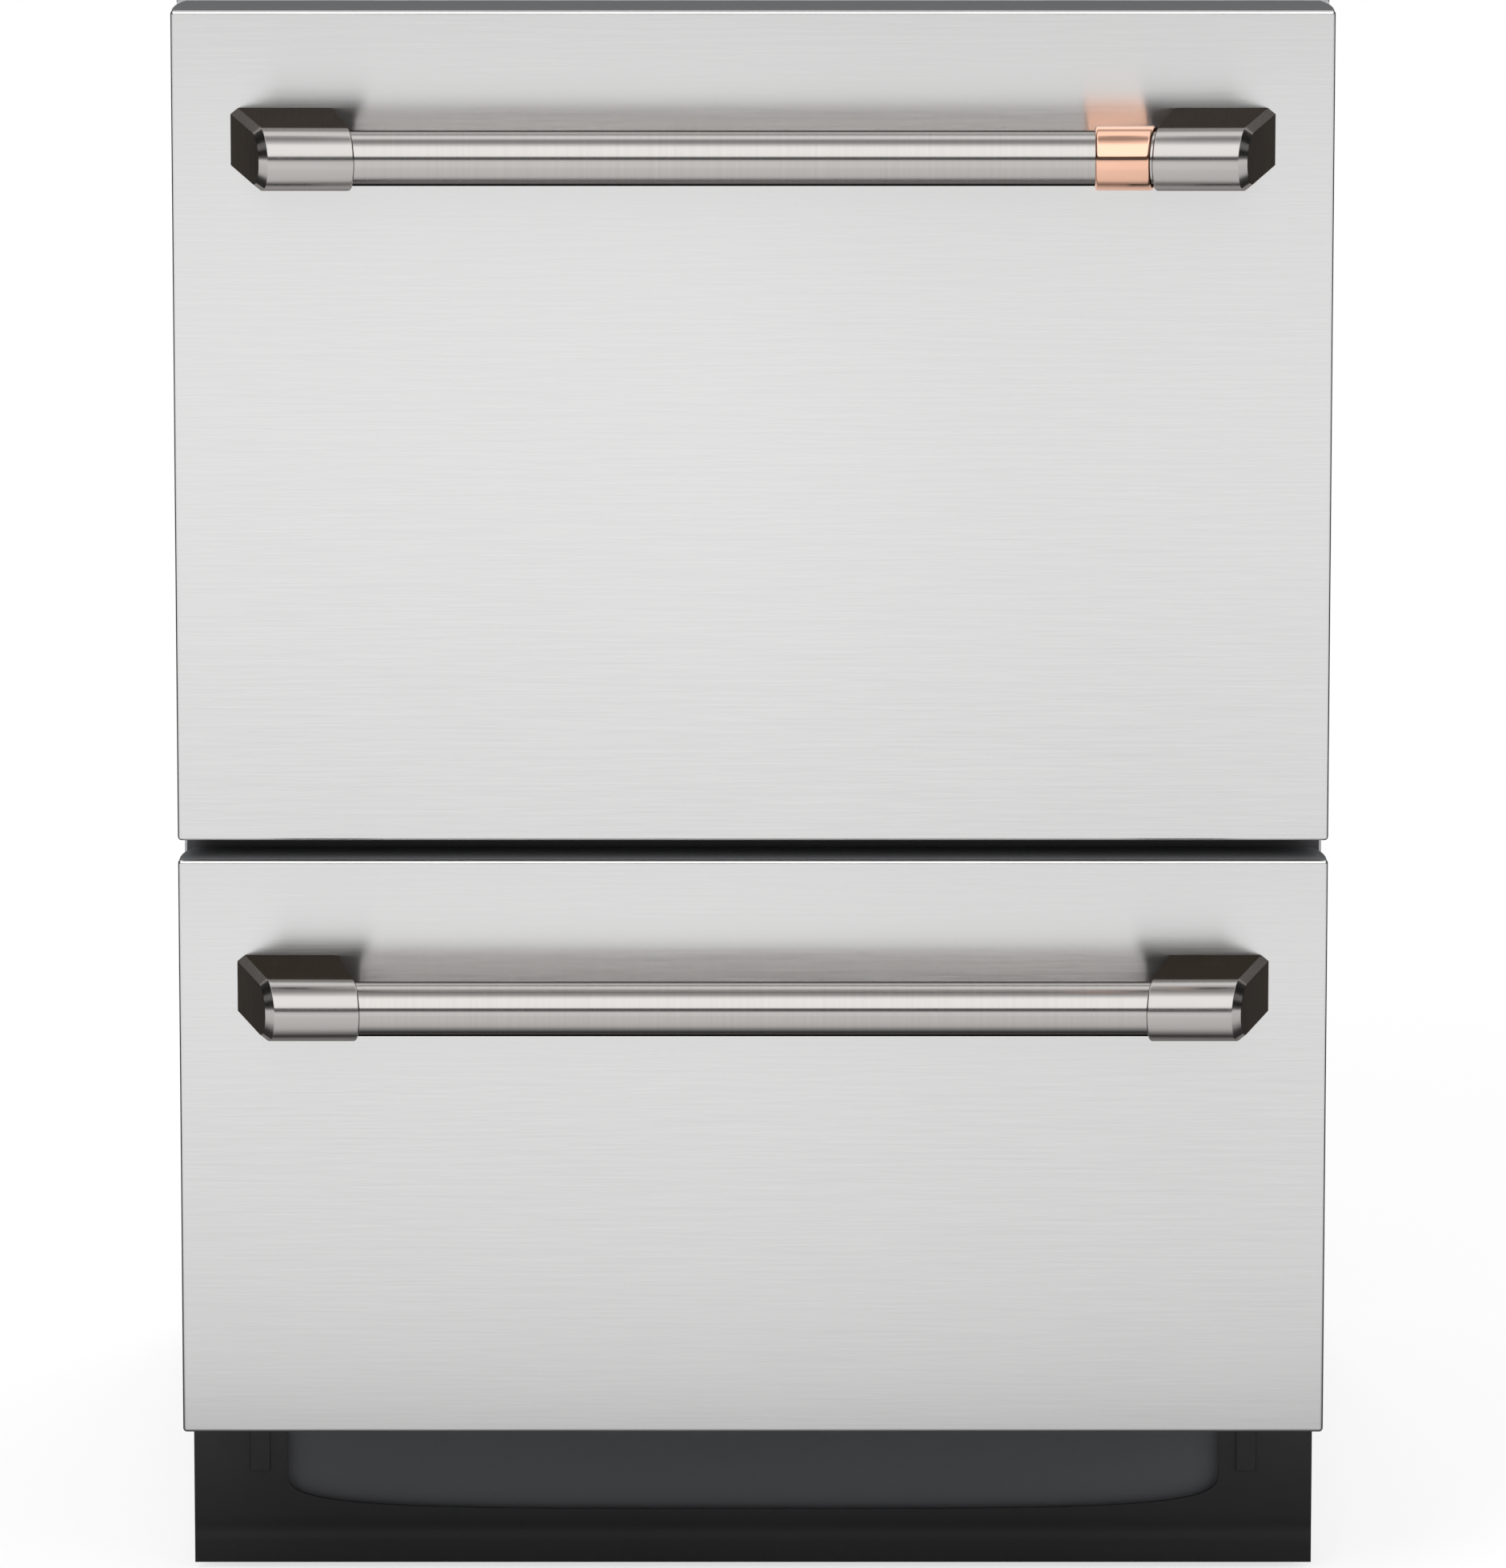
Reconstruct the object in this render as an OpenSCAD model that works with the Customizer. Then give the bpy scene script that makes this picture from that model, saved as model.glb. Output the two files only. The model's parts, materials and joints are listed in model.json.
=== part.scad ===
// Built-in dishwasher with two pull-out drawers, each a complete small dishwasher.
// The machine stands on the floor at z = 0, faces -Y, and is centred on its box in X and Y.
// Inside the modules, y = 0 is the face of the doors and y grows towards the back.

/* [Overall] */
// Height of the lower door's bottom edge above the floor, with the feet screwed right in
door_low = 101.5; // [100:0.5:106]
// Depth from the door face to the back of the cabinet
body_depth = 573; // [569:1:590]
// How far the doors overhang the cabinet on each side
door_over = 2.5; // [1:0.5:3.5]
// Thickness of the cabinet's sheet metal
sheet = 1.2; // [0.8:0.1:1.4]

/* [Doors] */
// Width of the two doors
door_w = 599; // [597:1:602]
// Height of the upper door
upper_door_h = 440.5; // [437:0.5:443]
// Height of the lower door
lower_door_h = 310.5; // [308:0.5:314]
// Open height between the two doors
door_gap = 10.5; // [8:0.5:12]
// Thickness of a door
door_t = 28; // [26:1:29]
// Thickness of the stainless skin
skin_t = 1; // [0.7:0.1:1.2]
// How far the skin folds back round the sides and the bottom
skin_return = 7; // [5:0.5:14]
// Bend radius of the skin
fold_r = 2; // [1.6:0.1:3]

/* [Handles] */
// Radius of the round bar
bar_r = 14.2; // [12:0.1:15]
// Radius of the end pieces and the band round the bar
cap_r = 16.7; // [16:0.1:18]
// Distance from the door face to the axis of the bar
bar_reach = 46.7; // [42:0.1:52]
// Distance from the top of a door down to the axis of its bar
bar_drop = 67.5; // [60:0.5:75]
// Distance from the side edge of a door to the outer edge of the handle's foot
handle_inset = 30.5; // [24:0.5:50]
// Width of a foot where it meets the door
cap_foot_w = 52.7; // [48:0.1:58]
// How far the outer side of an end piece leans in for each millimetre of reach
cap_lean_out = 0.27; // [0.15:0.01:0.35]
// How far the inner side of an end piece leans in for each millimetre of reach
cap_lean_in = 0.2; // [0.1:0.01:0.3]
// Length of the bevel round the outer side
bevel_x = 4; // [2:0.1:5]
// Depth of the bevel round the outer side
bevel_r = 3.3; // [2:0.1:4]
// Length of the bright band on the upper bar
band_len = 32; // [20:0.5:45]

/* [Drawers] */
// Distance from the top of a door down to the rim of its tub
rim_drop = 35; // [34:0.5:37]
// Height of the upper tub's floor above the bottom edge of its door
upper_floor_up = 57.5; // [55:0.5:68]
// Height of the lower tub's floor above the bottom edge of its door
lower_floor_up = 27.5; // [25:0.5:34]
// Wall thickness of the tubs
tub_wall = 2.6; // [2:0.1:3.2]
// Space between a tub and its runners
side_space = 11.4; // [10.4:0.1:14]
// Distance from the door face to the front wall of a tub
tub_front = 62; // [60:1:66]
// Distance from the back wall of a tub to the back of the cabinet
tub_back_space = 28; // [22:1:40]
// Corner radius of the tubs
tub_corner = 45; // [30:1:60]
// Slope round the floor of a tub
floor_slope = 25; // [10:1:28]
// Width of the rim that the lid seals on
rim_w = 7; // [6:0.5:7.5]
// How far a drawer slides out
drawer_travel = 480; // [420:5:490]

/* [Runners] */
// Length of each runner member
runner_len = 500; // [490:1:505]
// Height of a runner
runner_h = 45; // [40:1:48]
// Thickness of the steel in a runner
runner_t = 1.2; // [1:0.1:1.4]
// Width of a closed runner
runner_w = 12.4; // [12:0.1:12.6]
// Distance from the rim of a tub down to the middle of its runners
runner_drop = 122; // [119:1:130]

/* [Lids] */
// Height of a lid's rim
lid_h = 14; // [10:0.5:15]
// How far a lid lifts off its tub
lid_lift = 9; // [6:0.5:10]
// Thickness of the seal under a lid
seal_t = 4; // [3:0.5:5]

/* [Plinth] */
// Distance from the door face back to the kick plate
kick_setback = 88; // [80:1:95]
// Height of the kick plate above the floor at its lower edge
kick_bottom = 3.5; // [1:0.5:8]
// Distance from the bottom edge of the lower door down to the kick plate's upper edge
kick_drop = 25.5; // [24.5:0.5:32]
// Distance from the end of the kick plate to the hollow in its upper edge
scallop_side = 49.5; // [44:0.5:97]
// Height of the lowest point of that hollow
scallop_low = 33; // [24:0.5:40]
// Height from that point to where the hollow's sides stand upright
scallop_rise = 24; // [16:0.5:30]

/* [Racks] */
// Wire of the rack frames
wire_d = 4; // [3.5:0.1:4.5]
// Wire of the tines
tine_d = 3; // [2.6:0.1:3.4]
// Height of the upper rack
upper_rack_h = 120; // [100:1:125]
// Height of the lower rack
lower_rack_h = 100; // [85:1:104]

/* [Feet] */
// Radius of a levelling foot's thread
thread_r = 6; // [5:0.1:7]
// Radius of a levelling foot's pad
pad_r = 19; // [16:0.5:22]
// How far a foot screws out
foot_travel = 60; // [40:1:62]

/* [Connections] */
// Outside radius of the water inlet's thread
inlet_r = 13.2; // [12:0.1:14]
// Outside radius of the drain spigot
drain_r = 9.5; // [8:0.1:11]
// Radius of the cable entry
conduit_r = 11.1; // [9:0.1:12]

/* [Hidden] */

$fn = 48;
fit = 0.3;          // clearance between pieces that move past each other
running = 0.05;     // radial clearance of a shaft in its bore
past = 1;           // how far a cut runs past the face it opens
facet_round = 32;   // steps of a circle inside a hull

// heights, from the floor
lower_bottom = door_low;
lower_top = lower_bottom + lower_door_h;
upper_bottom = lower_top + door_gap;
upper_top = upper_bottom + upper_door_h;
upper_rim = upper_top - rim_drop;
lower_rim = lower_top - rim_drop;
upper_tub_depth = upper_rim - upper_bottom - upper_floor_up;
lower_tub_depth = lower_rim - lower_bottom - lower_floor_up;
cab_top = upper_top - 2;
cab_low = lower_bottom - 1.5;
kick_top = lower_bottom - kick_drop;
tray_z = 20;
tray_wall_h = 30;

// depths, from the door face
handle_reach = bar_reach + cap_r;
y_face = -(body_depth - handle_reach) / 2;
cab_front = door_t + 4;
cab_half = door_w / 2 - door_over;
cab_in = cab_half - sheet;
handle_half = door_w / 2 - handle_inset;
scallop_half = cab_half - scallop_side;
tub_back = body_depth - tub_back_space;
tub_mid = (tub_front + tub_back) / 2;
tub_half = cab_in - runner_w - side_space;
tub_w = 2 * tub_half;
tub_len = tub_back - tub_front;
lid_front = tub_front - 5;
strip_front = door_t + 1;
strip_back = lid_front - 3;
service_y = body_depth - 8;

// ---- shared shapes ----

module block(x, y, z) {
    translate([x[0], y[0], z[0]]) cube([x[1] - x[0], y[1] - y[0], z[1] - z[0]]);
}

module both_sides() {
    children();
    mirror([1, 0, 0]) children();
}

// A cylinder that starts at p and runs along X, Y or Z
module rod_x(p, r, len) {
    translate(p) rotate([0, 90, 0]) cylinder(r = r, h = len);
}

module rod_y(p, r, len) {
    translate(p) rotate([-90, 0, 0]) cylinder(r = r, h = len);
}

module rod_z(p, r, len) {
    translate(p) cylinder(r = r, h = len);
}

// A rectangle with rounded corners, centred
module round_rect(size, r) {
    square([size[0] - 2 * r, size[1]], center = true);
    square([size[0], size[1] - 2 * r], center = true);
    for (sx = [-1, 1], sy = [-1, 1])
        translate([sx * (size[0] / 2 - r), sy * (size[1] / 2 - r)]) circle(r = r);
}

// A rounded slab that follows the outline of a tub, grown by "more" on every side
module tub_outline(more, z, h) {
    translate([0, tub_mid, z]) linear_extrude(h)
        round_rect([tub_w + 2 * more, tub_len + 2 * more], tub_corner + more);
}

// A rectangle from y = 0 with its two corners at y = 0 rounded
module front_round(w, t, r) {
    translate([-w / 2, r]) square([w, t - r]);
    translate([-w / 2 + r, 0]) square([w - 2 * r, r + past / 2]);
    for (s = [-1, 1]) translate([s * (w / 2 - r), r]) circle(r = r);
}

// A closed body through rings of points, each ring with as many points as the next
module ring_loft(rings) {
    n = len(rings[0]);
    m = len(rings);
    polyhedron(
        points = [for (ring = rings) each ring],
        faces = concat(
            [[for (i = [0 : n - 1]) i]],
            [for (k = [0 : m - 2], i = [0 : n - 1])
                let (a = k * n + i, b = k * n + (i + 1) % n) each [[a, a + n, b], [b, a + n, b + n]]],
            [[for (i = [n - 1 : -1 : 0]) (m - 1) * n + i]]
        )
    );
}

// ---- doors ----

// A door's outline with its front edges folded at r
module door_block(z, h, t, r) {
    translate([0, 0, z]) intersection() {
        linear_extrude(h) front_round(door_w, t, r);
        translate([-door_w / 2, 0, h / 2]) rotate([90, 0, 90])
            linear_extrude(door_w) rotate(-90) front_round(h, t, r);
        translate([0, t, h / 2]) rotate([90, 0, 0])
            linear_extrude(t) round_rect([door_w, h], r);
    }
}

stud_r = 3;
stud_len = 16;
stud_hole_r = stud_r + 0.2;
stud_x = [handle_half - cap_foot_w + 14, handle_half - 14];

module handle_studs(z, r, from, len) {
    for (s = [-1, 1], x = stud_x) rod_y([s * x, from, z], r, len);
}

module front_skin(top, h) {
    z = top - h;
    half = door_w / 2;
    color("gainsboro") difference() {
        door_block(z, h, skin_return, fold_r);
        block([-half + skin_t, half - skin_t], [skin_t, skin_return + past], [z + skin_t, top - skin_t]);
        // only a short fold stays along the top, under the liner's cap
        block([-half - past, half + past], [fold_r + fit, skin_return + past],
              [top - 2 * skin_t, top + past]);
        handle_studs(top - bar_drop, stud_hole_r, -past, skin_t + 2 * past);
    }
}

liner_wall = 2.5;
liner_corner = 3.7;
liner_cap_y = fold_r + 2 * fit;
liner_step = skin_return + fit;

// Half of the liner's outline behind the skin, from above: it leans in towards the back
function liner_edge(half) = [
    [half, liner_step], [half - liner_corner, door_t - 3.4], [half - liner_corner - 2.5, door_t]
];

module front_liner(top, h) {
    z = top - h;
    half = door_w / 2;
    inner = half - skin_t - fit;
    color("dimgray") difference() {
        union() {
            translate([0, 0, z]) linear_extrude(h)
                polygon(concat(liner_edge(half), [for (i = [2 : -1 : 0]) [-liner_edge(half)[i][0], liner_edge(half)[i][1]]]));
            block([-inner, inner], [skin_t + fit, liner_step + past], [z + skin_t + fit, top - 2 * skin_t - fit]);
            block([-half + 0.5, half - 0.5], [liner_cap_y, liner_step + past], [top - 2 * skin_t, top]);
            block([-inner, inner], [liner_cap_y, liner_step + past], [top - 3 * skin_t - past, top - skin_t]);
        }
        block([-inner + liner_wall, inner - liner_wall], [0, door_t - liner_wall],
              [z + skin_t + fit + liner_wall, top - 12]);
    }
}

// ---- handles ----

cap_round_steps = 20;
cap_edge = 1;
bar_socket = 18;

// Side view of an end piece, taken in by "inset": flat above and below, round at the front
function cap_profile(inset) = concat(
    [[0, cap_r - inset]],
    [for (i = [0 : cap_round_steps]) let (a = 90 - 180 * i / cap_round_steps)
        [bar_reach + (cap_r - inset) * cos(a), (cap_r - inset) * sin(a)]],
    [[0, -(cap_r - inset)]]
);

// The same outline laid on a side that leans in by "lean", from x at the door
function cap_ring(x, lean, inset) = [for (q = cap_profile(inset)) [x - lean * q[0], -q[0], q[1]]];

cap_inner_x = handle_half - cap_foot_w;
cap_front_x = cap_inner_x - cap_lean_in * bar_reach;

module handle_caps(top) {
    color("dimgray") both_sides() translate([0, 0, top - bar_drop]) difference() {
        union() {
            ring_loft([
                cap_ring(cap_inner_x, cap_lean_in, cap_edge),
                cap_ring(cap_inner_x + cap_edge, cap_lean_in, 0),
                cap_ring(handle_half - bevel_x, cap_lean_out, 0),
                cap_ring(handle_half, cap_lean_out, bevel_r)
            ]);
            for (x = stud_x) rod_y([x, -past, 0], stud_r, stud_len + past);
        }
        rod_x([cap_front_x - bar_r, -bar_reach, 0], bar_r + running, bar_r + bar_socket);
    }
}

module handle_bar(top) {
    half = cap_front_x + bar_socket - fit;
    color("silver") rod_x([-half, -bar_reach, top - bar_drop], bar_r, 2 * half);
}

// The bright sleeve on the bar, cut to the lean of the right end piece
module handle_band(top) {
    end = cap_inner_x - 1.2;
    color("peru") translate([0, 0, top - bar_drop]) difference() {
        translate([cap_front_x - band_len, -bar_reach, 0]) rotate([0, 90, 0]) difference() {
            union() {
                cylinder(r1 = cap_r - cap_edge, r2 = cap_r, h = cap_edge);
                translate([0, 0, cap_edge]) cylinder(r = cap_r, h = band_len + 2 * cap_edge);
            }
            translate([0, 0, -past]) cylinder(r = bar_r + running, h = 2 * band_len);
        }
        translate([0, 0, -2 * cap_r]) linear_extrude(4 * cap_r)
            polygon([[end, 0], [end - cap_lean_in * 2 * bar_reach, -2 * bar_reach],
                     [end + 2 * bar_reach, -2 * bar_reach], [end + 2 * bar_reach, 0]]);
    }
}

// ---- cabinet ----

screw_r = 2;
screw_head_r = 4;
screw_head_h = 1.6;
top_flange = 12;
top_screw_z = cab_top - sheet - top_flange / 2;
low_screw_z = tray_z + tray_wall_h / 2 + 1;
side_screws = [
    for (y = [70, 250, 530]) [y, top_screw_z],
    for (y = [150, 330, 530]) [y, low_screw_z]
];

module side_holes(r) {
    for (q = side_screws) both_sides() rod_x([cab_in - 2 * sheet, q[0], q[1]], r, 4 * sheet);
}

hem = 5;

module side_panel() {
    bead_y = [cab_front + 60, body_depth - 60];
    color("lightgray") difference() {
        union() {
            block([cab_in, cab_half], [cab_front, body_depth], [tray_z, cab_top]);
            // folded hem along the front edge, open where the cross rail lies
            for (z = [[cab_low, mid_low - fit], [mid_high + fit, cab_top - sheet - top_flange]])
                block([cab_in - sheet, cab_in], [cab_front, cab_front + hem], z);
        }
        block([cab_in - 3 * sheet, cab_half + past], [cab_front - past, kick_setback + 2],
              [tray_z - past, cab_low]);
        side_holes(screw_r + running * 2);
        // long pressed grooves that stiffen the sheet
        for (z = [lower_bottom + 60, lower_top - 60, upper_bottom + 110, upper_top - 60])
            block([cab_half - sheet / 3, cab_half + past], bead_y, [z, z + 14]);
    }
}

tab_x = cab_in - 55.8;
tab_y = 46;
tab_hole_r = 2.6;

module top_panel() {
    z = cab_top - sheet;
    color("lightgray") difference() {
        union() {
            block([-cab_in, cab_in], [cab_front, body_depth - sheet], [z, cab_top]);
            block([-cab_in, cab_in], [cab_front, cab_front + sheet], [z - top_flange, z]);
            both_sides() block([cab_in - sheet, cab_in], [cab_front + 12, body_depth - sheet], [z - top_flange, z]);
        }
        for (s = [-1, 1]) rod_z([s * tab_x, tab_y, z - past], tab_hole_r, sheet + 2 * past);
        side_holes(screw_r + running * 2);
        // stiffening grooves
        for (s = [-2 : 2]) block([s * 100 - 6, s * 100 + 6], [cab_front + 60, body_depth - 60],
                                 [cab_top - sheet / 3, cab_top + past]);
    }
}

module back_panel() {
    color("lightgray") difference() {
        union() {
            block([-cab_in, cab_in], [body_depth - sheet, body_depth], [cab_low, cab_top]);
            block([-cab_in, cab_in], [body_depth - 10, body_depth - sheet], [cab_low, cab_low + sheet]);
        }
        for (z = [cab_low + 60 : 90 : cab_top - 60])
            block([-cab_in + 60, cab_in - 60], [body_depth - sheet / 3, body_depth + past], [z, z + 14]);
    }
}

foot_x = cab_in - 33.8;
foot_y = [kick_setback + 42, body_depth - 33];
foot_boss_r = 14;
foot_boss_h = 32;
pad_h = 12;
tray_front = kick_setback + 7.2;

module base_tray() {
    back = body_depth - sheet;
    color("darkgray") difference() {
        union() {
            block([-cab_in, cab_in], [tray_front, back], [tray_z, tray_z + sheet]);
            both_sides() block([cab_in - sheet, cab_in], [tray_front, back], [tray_z, tray_z + tray_wall_h]);
            for (y = [tray_front, back - sheet])
                block([-cab_in, cab_in], [y, y + sheet], [tray_z, tray_z + tray_wall_h]);
            for (s = [-1, 1], y = foot_y) rod_z([s * foot_x, y, tray_z], foot_boss_r, foot_boss_h);
        }
        for (s = [-1, 1], y = foot_y)
            rod_z([s * foot_x, y, tray_z - past], thread_r + running, foot_boss_h + 2 * past);
        side_holes(screw_r + running * 2);
    }
}

// The levelling foot: pad, hexagon for the spanner and threaded stem
module foot(s, y) {
    stem = tray_z + foot_boss_h + foot_travel - 18;
    color("black") translate([s * foot_x, y, 0]) {
        cylinder(r = pad_r, h = pad_h / 2);
        translate([0, 0, pad_h / 2]) cylinder(r = pad_r - 7, h = pad_h / 2, $fn = 6);
        translate([0, 0, pad_h / 2]) cylinder(r = thread_r, h = stem - pad_h / 2);
    }
}

// The cross rail between the two drawers
mid_low = lower_top - rim_drop + lid_lift + seal_t + lid_h + 2;
mid_high = upper_bottom - 2.5;
mid_depth = 60;

module mid_rail() {
    color("dimgray") {
        block([-cab_in, cab_in], [cab_front, cab_front + sheet], [mid_low, mid_high]);
        block([-cab_in, cab_in], [cab_front, cab_front + mid_depth], [mid_high - sheet, mid_high]);
        block([-cab_in, cab_in], [cab_front + mid_depth - sheet, cab_front + mid_depth],
              [mid_low, mid_high]);
        both_sides() block([cab_in - sheet, cab_in], [cab_front, cab_front + mid_depth],
                           [mid_low, mid_high]);
    }
}

kick_t = 2;
scallop_power = 4.3;
scallop_steps = 40;

// A superellipse: flat along the bottom, standing upright at both ends
function scallop_x(a) = scallop_half * sign(cos(a)) * pow(abs(cos(a)), 2 / scallop_power);
function scallop_z(a) = scallop_low + scallop_rise * (1 - pow(abs(sin(a)), 2 / scallop_power));

module kick_plate() {
    color("black") {
        translate([0, kick_setback + kick_t, 0]) rotate([90, 0, 0]) linear_extrude(kick_t) difference() {
            translate([-cab_half, kick_bottom]) square([2 * cab_half, kick_top - kick_bottom]);
            polygon(concat(
                [[-scallop_half, kick_top + past]],
                [for (i = [0 : scallop_steps]) let (a = 180 + 180 * i / scallop_steps)
                    [scallop_x(a), scallop_z(a)]],
                [[scallop_half, kick_top + past]]
            ));
        }
        // spacers that hold the plate off the plinth
        for (x = [cab_half - 22, cab_half - 177], s = [-1, 1])
            rod_y([s * x, kick_setback + kick_t - 0.5, tray_z + 5], 4, tray_front - sheet - kick_setback - kick_t + 0.5);
    }
}

hook_x = cab_half - 35;
hook_w = 10.6;
hook_low = 54.4;

module plinth_panel() {
    color("slategray") {
        block([-cab_half + 4, cab_half - 4], [tray_front - sheet, tray_front], [tray_z - 6, kick_top]);
        // two straps that hook over the kick plate
        for (s = [-1, 1]) {
            block([s * hook_x - hook_w / 2, s * hook_x + hook_w / 2],
                  [kick_setback - 1 - fit, tray_front], [kick_top + fit, kick_top + fit + 1]);
            block([s * hook_x - hook_w / 2, s * hook_x + hook_w / 2],
                  [kick_setback - 1 - fit, kick_setback - fit], [hook_low, kick_top + fit + 1]);
            block([s * hook_x - hook_w / 2, s * hook_x + hook_w / 2],
                  [tray_front - sheet, tray_front], [kick_top - past, kick_top + fit + 1]);
        }
    }
}

module cabinet_screws() {
    color("silver") for (q = side_screws) both_sides() {
        rod_x([cab_half, q[0], q[1]], screw_head_r, screw_head_h);
        rod_x([cab_half - 3 * sheet - 1, q[0], q[1]], screw_r, 3 * sheet + 1 + past);
    }
}

// ---- runners ----

runner_start = cab_front + hem + 1;

// Profiles of the three nested members of a runner, drawn for the right side:
// x is measured from the inside of the cabinet towards the tub, z from the middle
module outer_member() {
    h = runner_h / 2;
    square([runner_t, h * 2], center = false);
    for (z = [0, runner_h - runner_t]) translate([0, z]) square([runner_w - runner_t, runner_t]);
}

mid_member_h = runner_h - 2 * runner_t - 2 * fit;
mid_member_web = 5.1;

module middle_member() {
    translate([mid_member_web, 0]) square([runner_t, mid_member_h]);
    for (z = [0, mid_member_h - runner_t])
        translate([runner_t + 2 * fit, z]) square([runner_w - 3 * runner_t, runner_t]);
}

inner_member_h = mid_member_h - 2 * runner_t - 2 * fit;

module inner_member() {
    translate([runner_w - runner_t, 0]) square([runner_t, inner_member_h]);
    start = mid_member_web + runner_t + fit;
    for (z = [0, inner_member_h - runner_t])
        translate([start, z]) square([runner_w - start, runner_t]);
}

// Runs a member's profile, h high, along both sides of the cabinet
module runner_pair(rim, h) {
    both_sides() translate([cab_in, runner_start + runner_len, rim - runner_drop - h / 2])
        mirror([1, 0, 0]) rotate([90, 0, 0]) linear_extrude(runner_len) children();
}

module cabinet_rails() {
    color("silver") for (top = [upper_top, lower_top])
        runner_pair(top - rim_drop, runner_h) outer_member();
}

module middle_rails(rim) {
    color("silver") runner_pair(rim, mid_member_h) middle_member();
}

module drawer_rails(rim) {
    color("silver") runner_pair(rim, inner_member_h) inner_member();
}

// ---- tubs ----

sump_r = 92;
sump_depth = 14;
deck_t = 8;
rail_boss_r = 10;
bracket_x = tub_half - 82;
bracket_w = 40;
rail_boss_y = [tub_front + tub_corner + 12, tub_mid, runner_start + runner_len - 60];
drawer_face_x = cab_in - runner_w;

// Dispenser window, from the rim
window_x = [-84, 69];
window_z = [-96, -24];

module tub(rim, depth) {
    floor_z = rim - depth;
    under = floor_z - tub_wall;
    color("gray") difference() {
        union() {
            tub_outline(0, under + floor_slope, rim - under - floor_slope);
            hull() {
                translate([0, tub_mid, under]) linear_extrude(0.1)
                    round_rect([tub_w - 2 * floor_slope, tub_len - 2 * floor_slope],
                               tub_corner - floor_slope / 2, $fn = facet_round);
                translate([0, tub_mid, under + floor_slope]) linear_extrude(0.1)
                    round_rect([tub_w, tub_len], tub_corner, $fn = facet_round);
            }
            // rim and the deck that carries the control strip
            tub_outline(rim_w, rim - deck_t, deck_t);
            block([-tub_half + 4, tub_half - 4], [door_t, tub_front + tub_corner], [rim - deck_t, rim]);
            // brackets to the door
            for (s = [-1, 1]) translate([s * bracket_x, 0, floor_z]) {
                block([-bracket_w / 2, bracket_w / 2], [door_t, tub_front + 2], [60, 64]);
                block([-bracket_w / 2, bracket_w / 2], [door_t, door_t + 3], [30, 94]);
            }
            // ribs under the rim and bosses for the runners
            for (y = rail_boss_y) both_sides()
                rod_x([tub_half - 4, y, rim - runner_drop], rail_boss_r, drawer_face_x - tub_half + 4);
            for (y = [tub_front + 90 : 90 : tub_back - 80]) both_sides()
                block([tub_half - 1, tub_half + rim_w - 1], [y, y + 3], [rim - 60, rim - deck_t + 1]);
            rod_z([0, tub_mid, under - sump_depth], sump_r + tub_wall, sump_depth + 1);
        }
        tub_outline(-tub_wall, floor_z + floor_slope, depth);
        hull() {
            translate([0, tub_mid, floor_z]) linear_extrude(0.1)
                round_rect([tub_w - 2 * tub_wall - 2 * floor_slope, tub_len - 2 * tub_wall - 2 * floor_slope],
                           tub_corner - floor_slope / 2 - tub_wall, $fn = facet_round);
            translate([0, tub_mid, floor_z + floor_slope]) linear_extrude(0.1)
                round_rect([tub_w - 2 * tub_wall, tub_len - 2 * tub_wall], tub_corner - tub_wall,
                           $fn = facet_round);
        }
        rod_z([0, tub_mid, floor_z - sump_depth], sump_r, sump_depth + past);
        block(window_x, [tub_front - past, tub_front + tub_wall + past],
              [rim + window_z[0], rim + window_z[1]]);
        rod_z([0, tub_mid, floor_z - sump_depth - tub_wall - past], 16, tub_wall + 2 * past);
    }
}

// ---- control strip ----

strip_half = tub_half - 17;
button_x = -(strip_half - 30);
button_r = 7;
button_h = 5;
button_travel = 1.2;
strip_h = 13;

module control_strip(rim) {
    mid = (strip_front + strip_back) / 2;
    color("black") difference() {
        translate([-strip_half, 0, rim]) rotate([90, 0, 90]) linear_extrude(2 * strip_half)
            polygon([[strip_front, 0], [strip_back, 0], [strip_back, strip_h - 3],
                     [strip_back - 3, strip_h], [strip_front + 2, strip_h], [strip_front, strip_h - 2]]);
        rod_z([button_x, mid, rim + strip_h - button_h - button_travel], button_r + fit,
              button_h + button_travel + past);
        // shallow window of the display
        block([-60, 60], [mid - 6, mid + 6], [rim + strip_h - 0.5, rim + strip_h + past]);
        // finger dimples of the touch keys
        for (x = [-180, -140, -100, 100, 140, 180])
            translate([x, mid, rim + strip_h + 11.3]) sphere(r = 12);
    }
}

module power_button(rim) {
    mid = (strip_front + strip_back) / 2;
    z = rim + strip_h - button_h + 0.8;
    color("silver") {
        rod_z([button_x, mid, z], button_r, button_h - 1);
        translate([button_x, mid, z + button_h - 1]) cylinder(r1 = button_r, r2 = button_r - 1, h = 1);
    }
}

// ---- lids ----

lid_over = rim_w - 2;
lifter_y = tub_mid;
lifter_w = [tub_half + rim_w + 1.6, cab_in];
lifter_len = 70;
lifter_h = 92;
rod_r = 4;
rod_x_at = (lifter_w[0] + lifter_w[1]) / 2;
rod_len = 60;
lug_h = 7;

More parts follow.
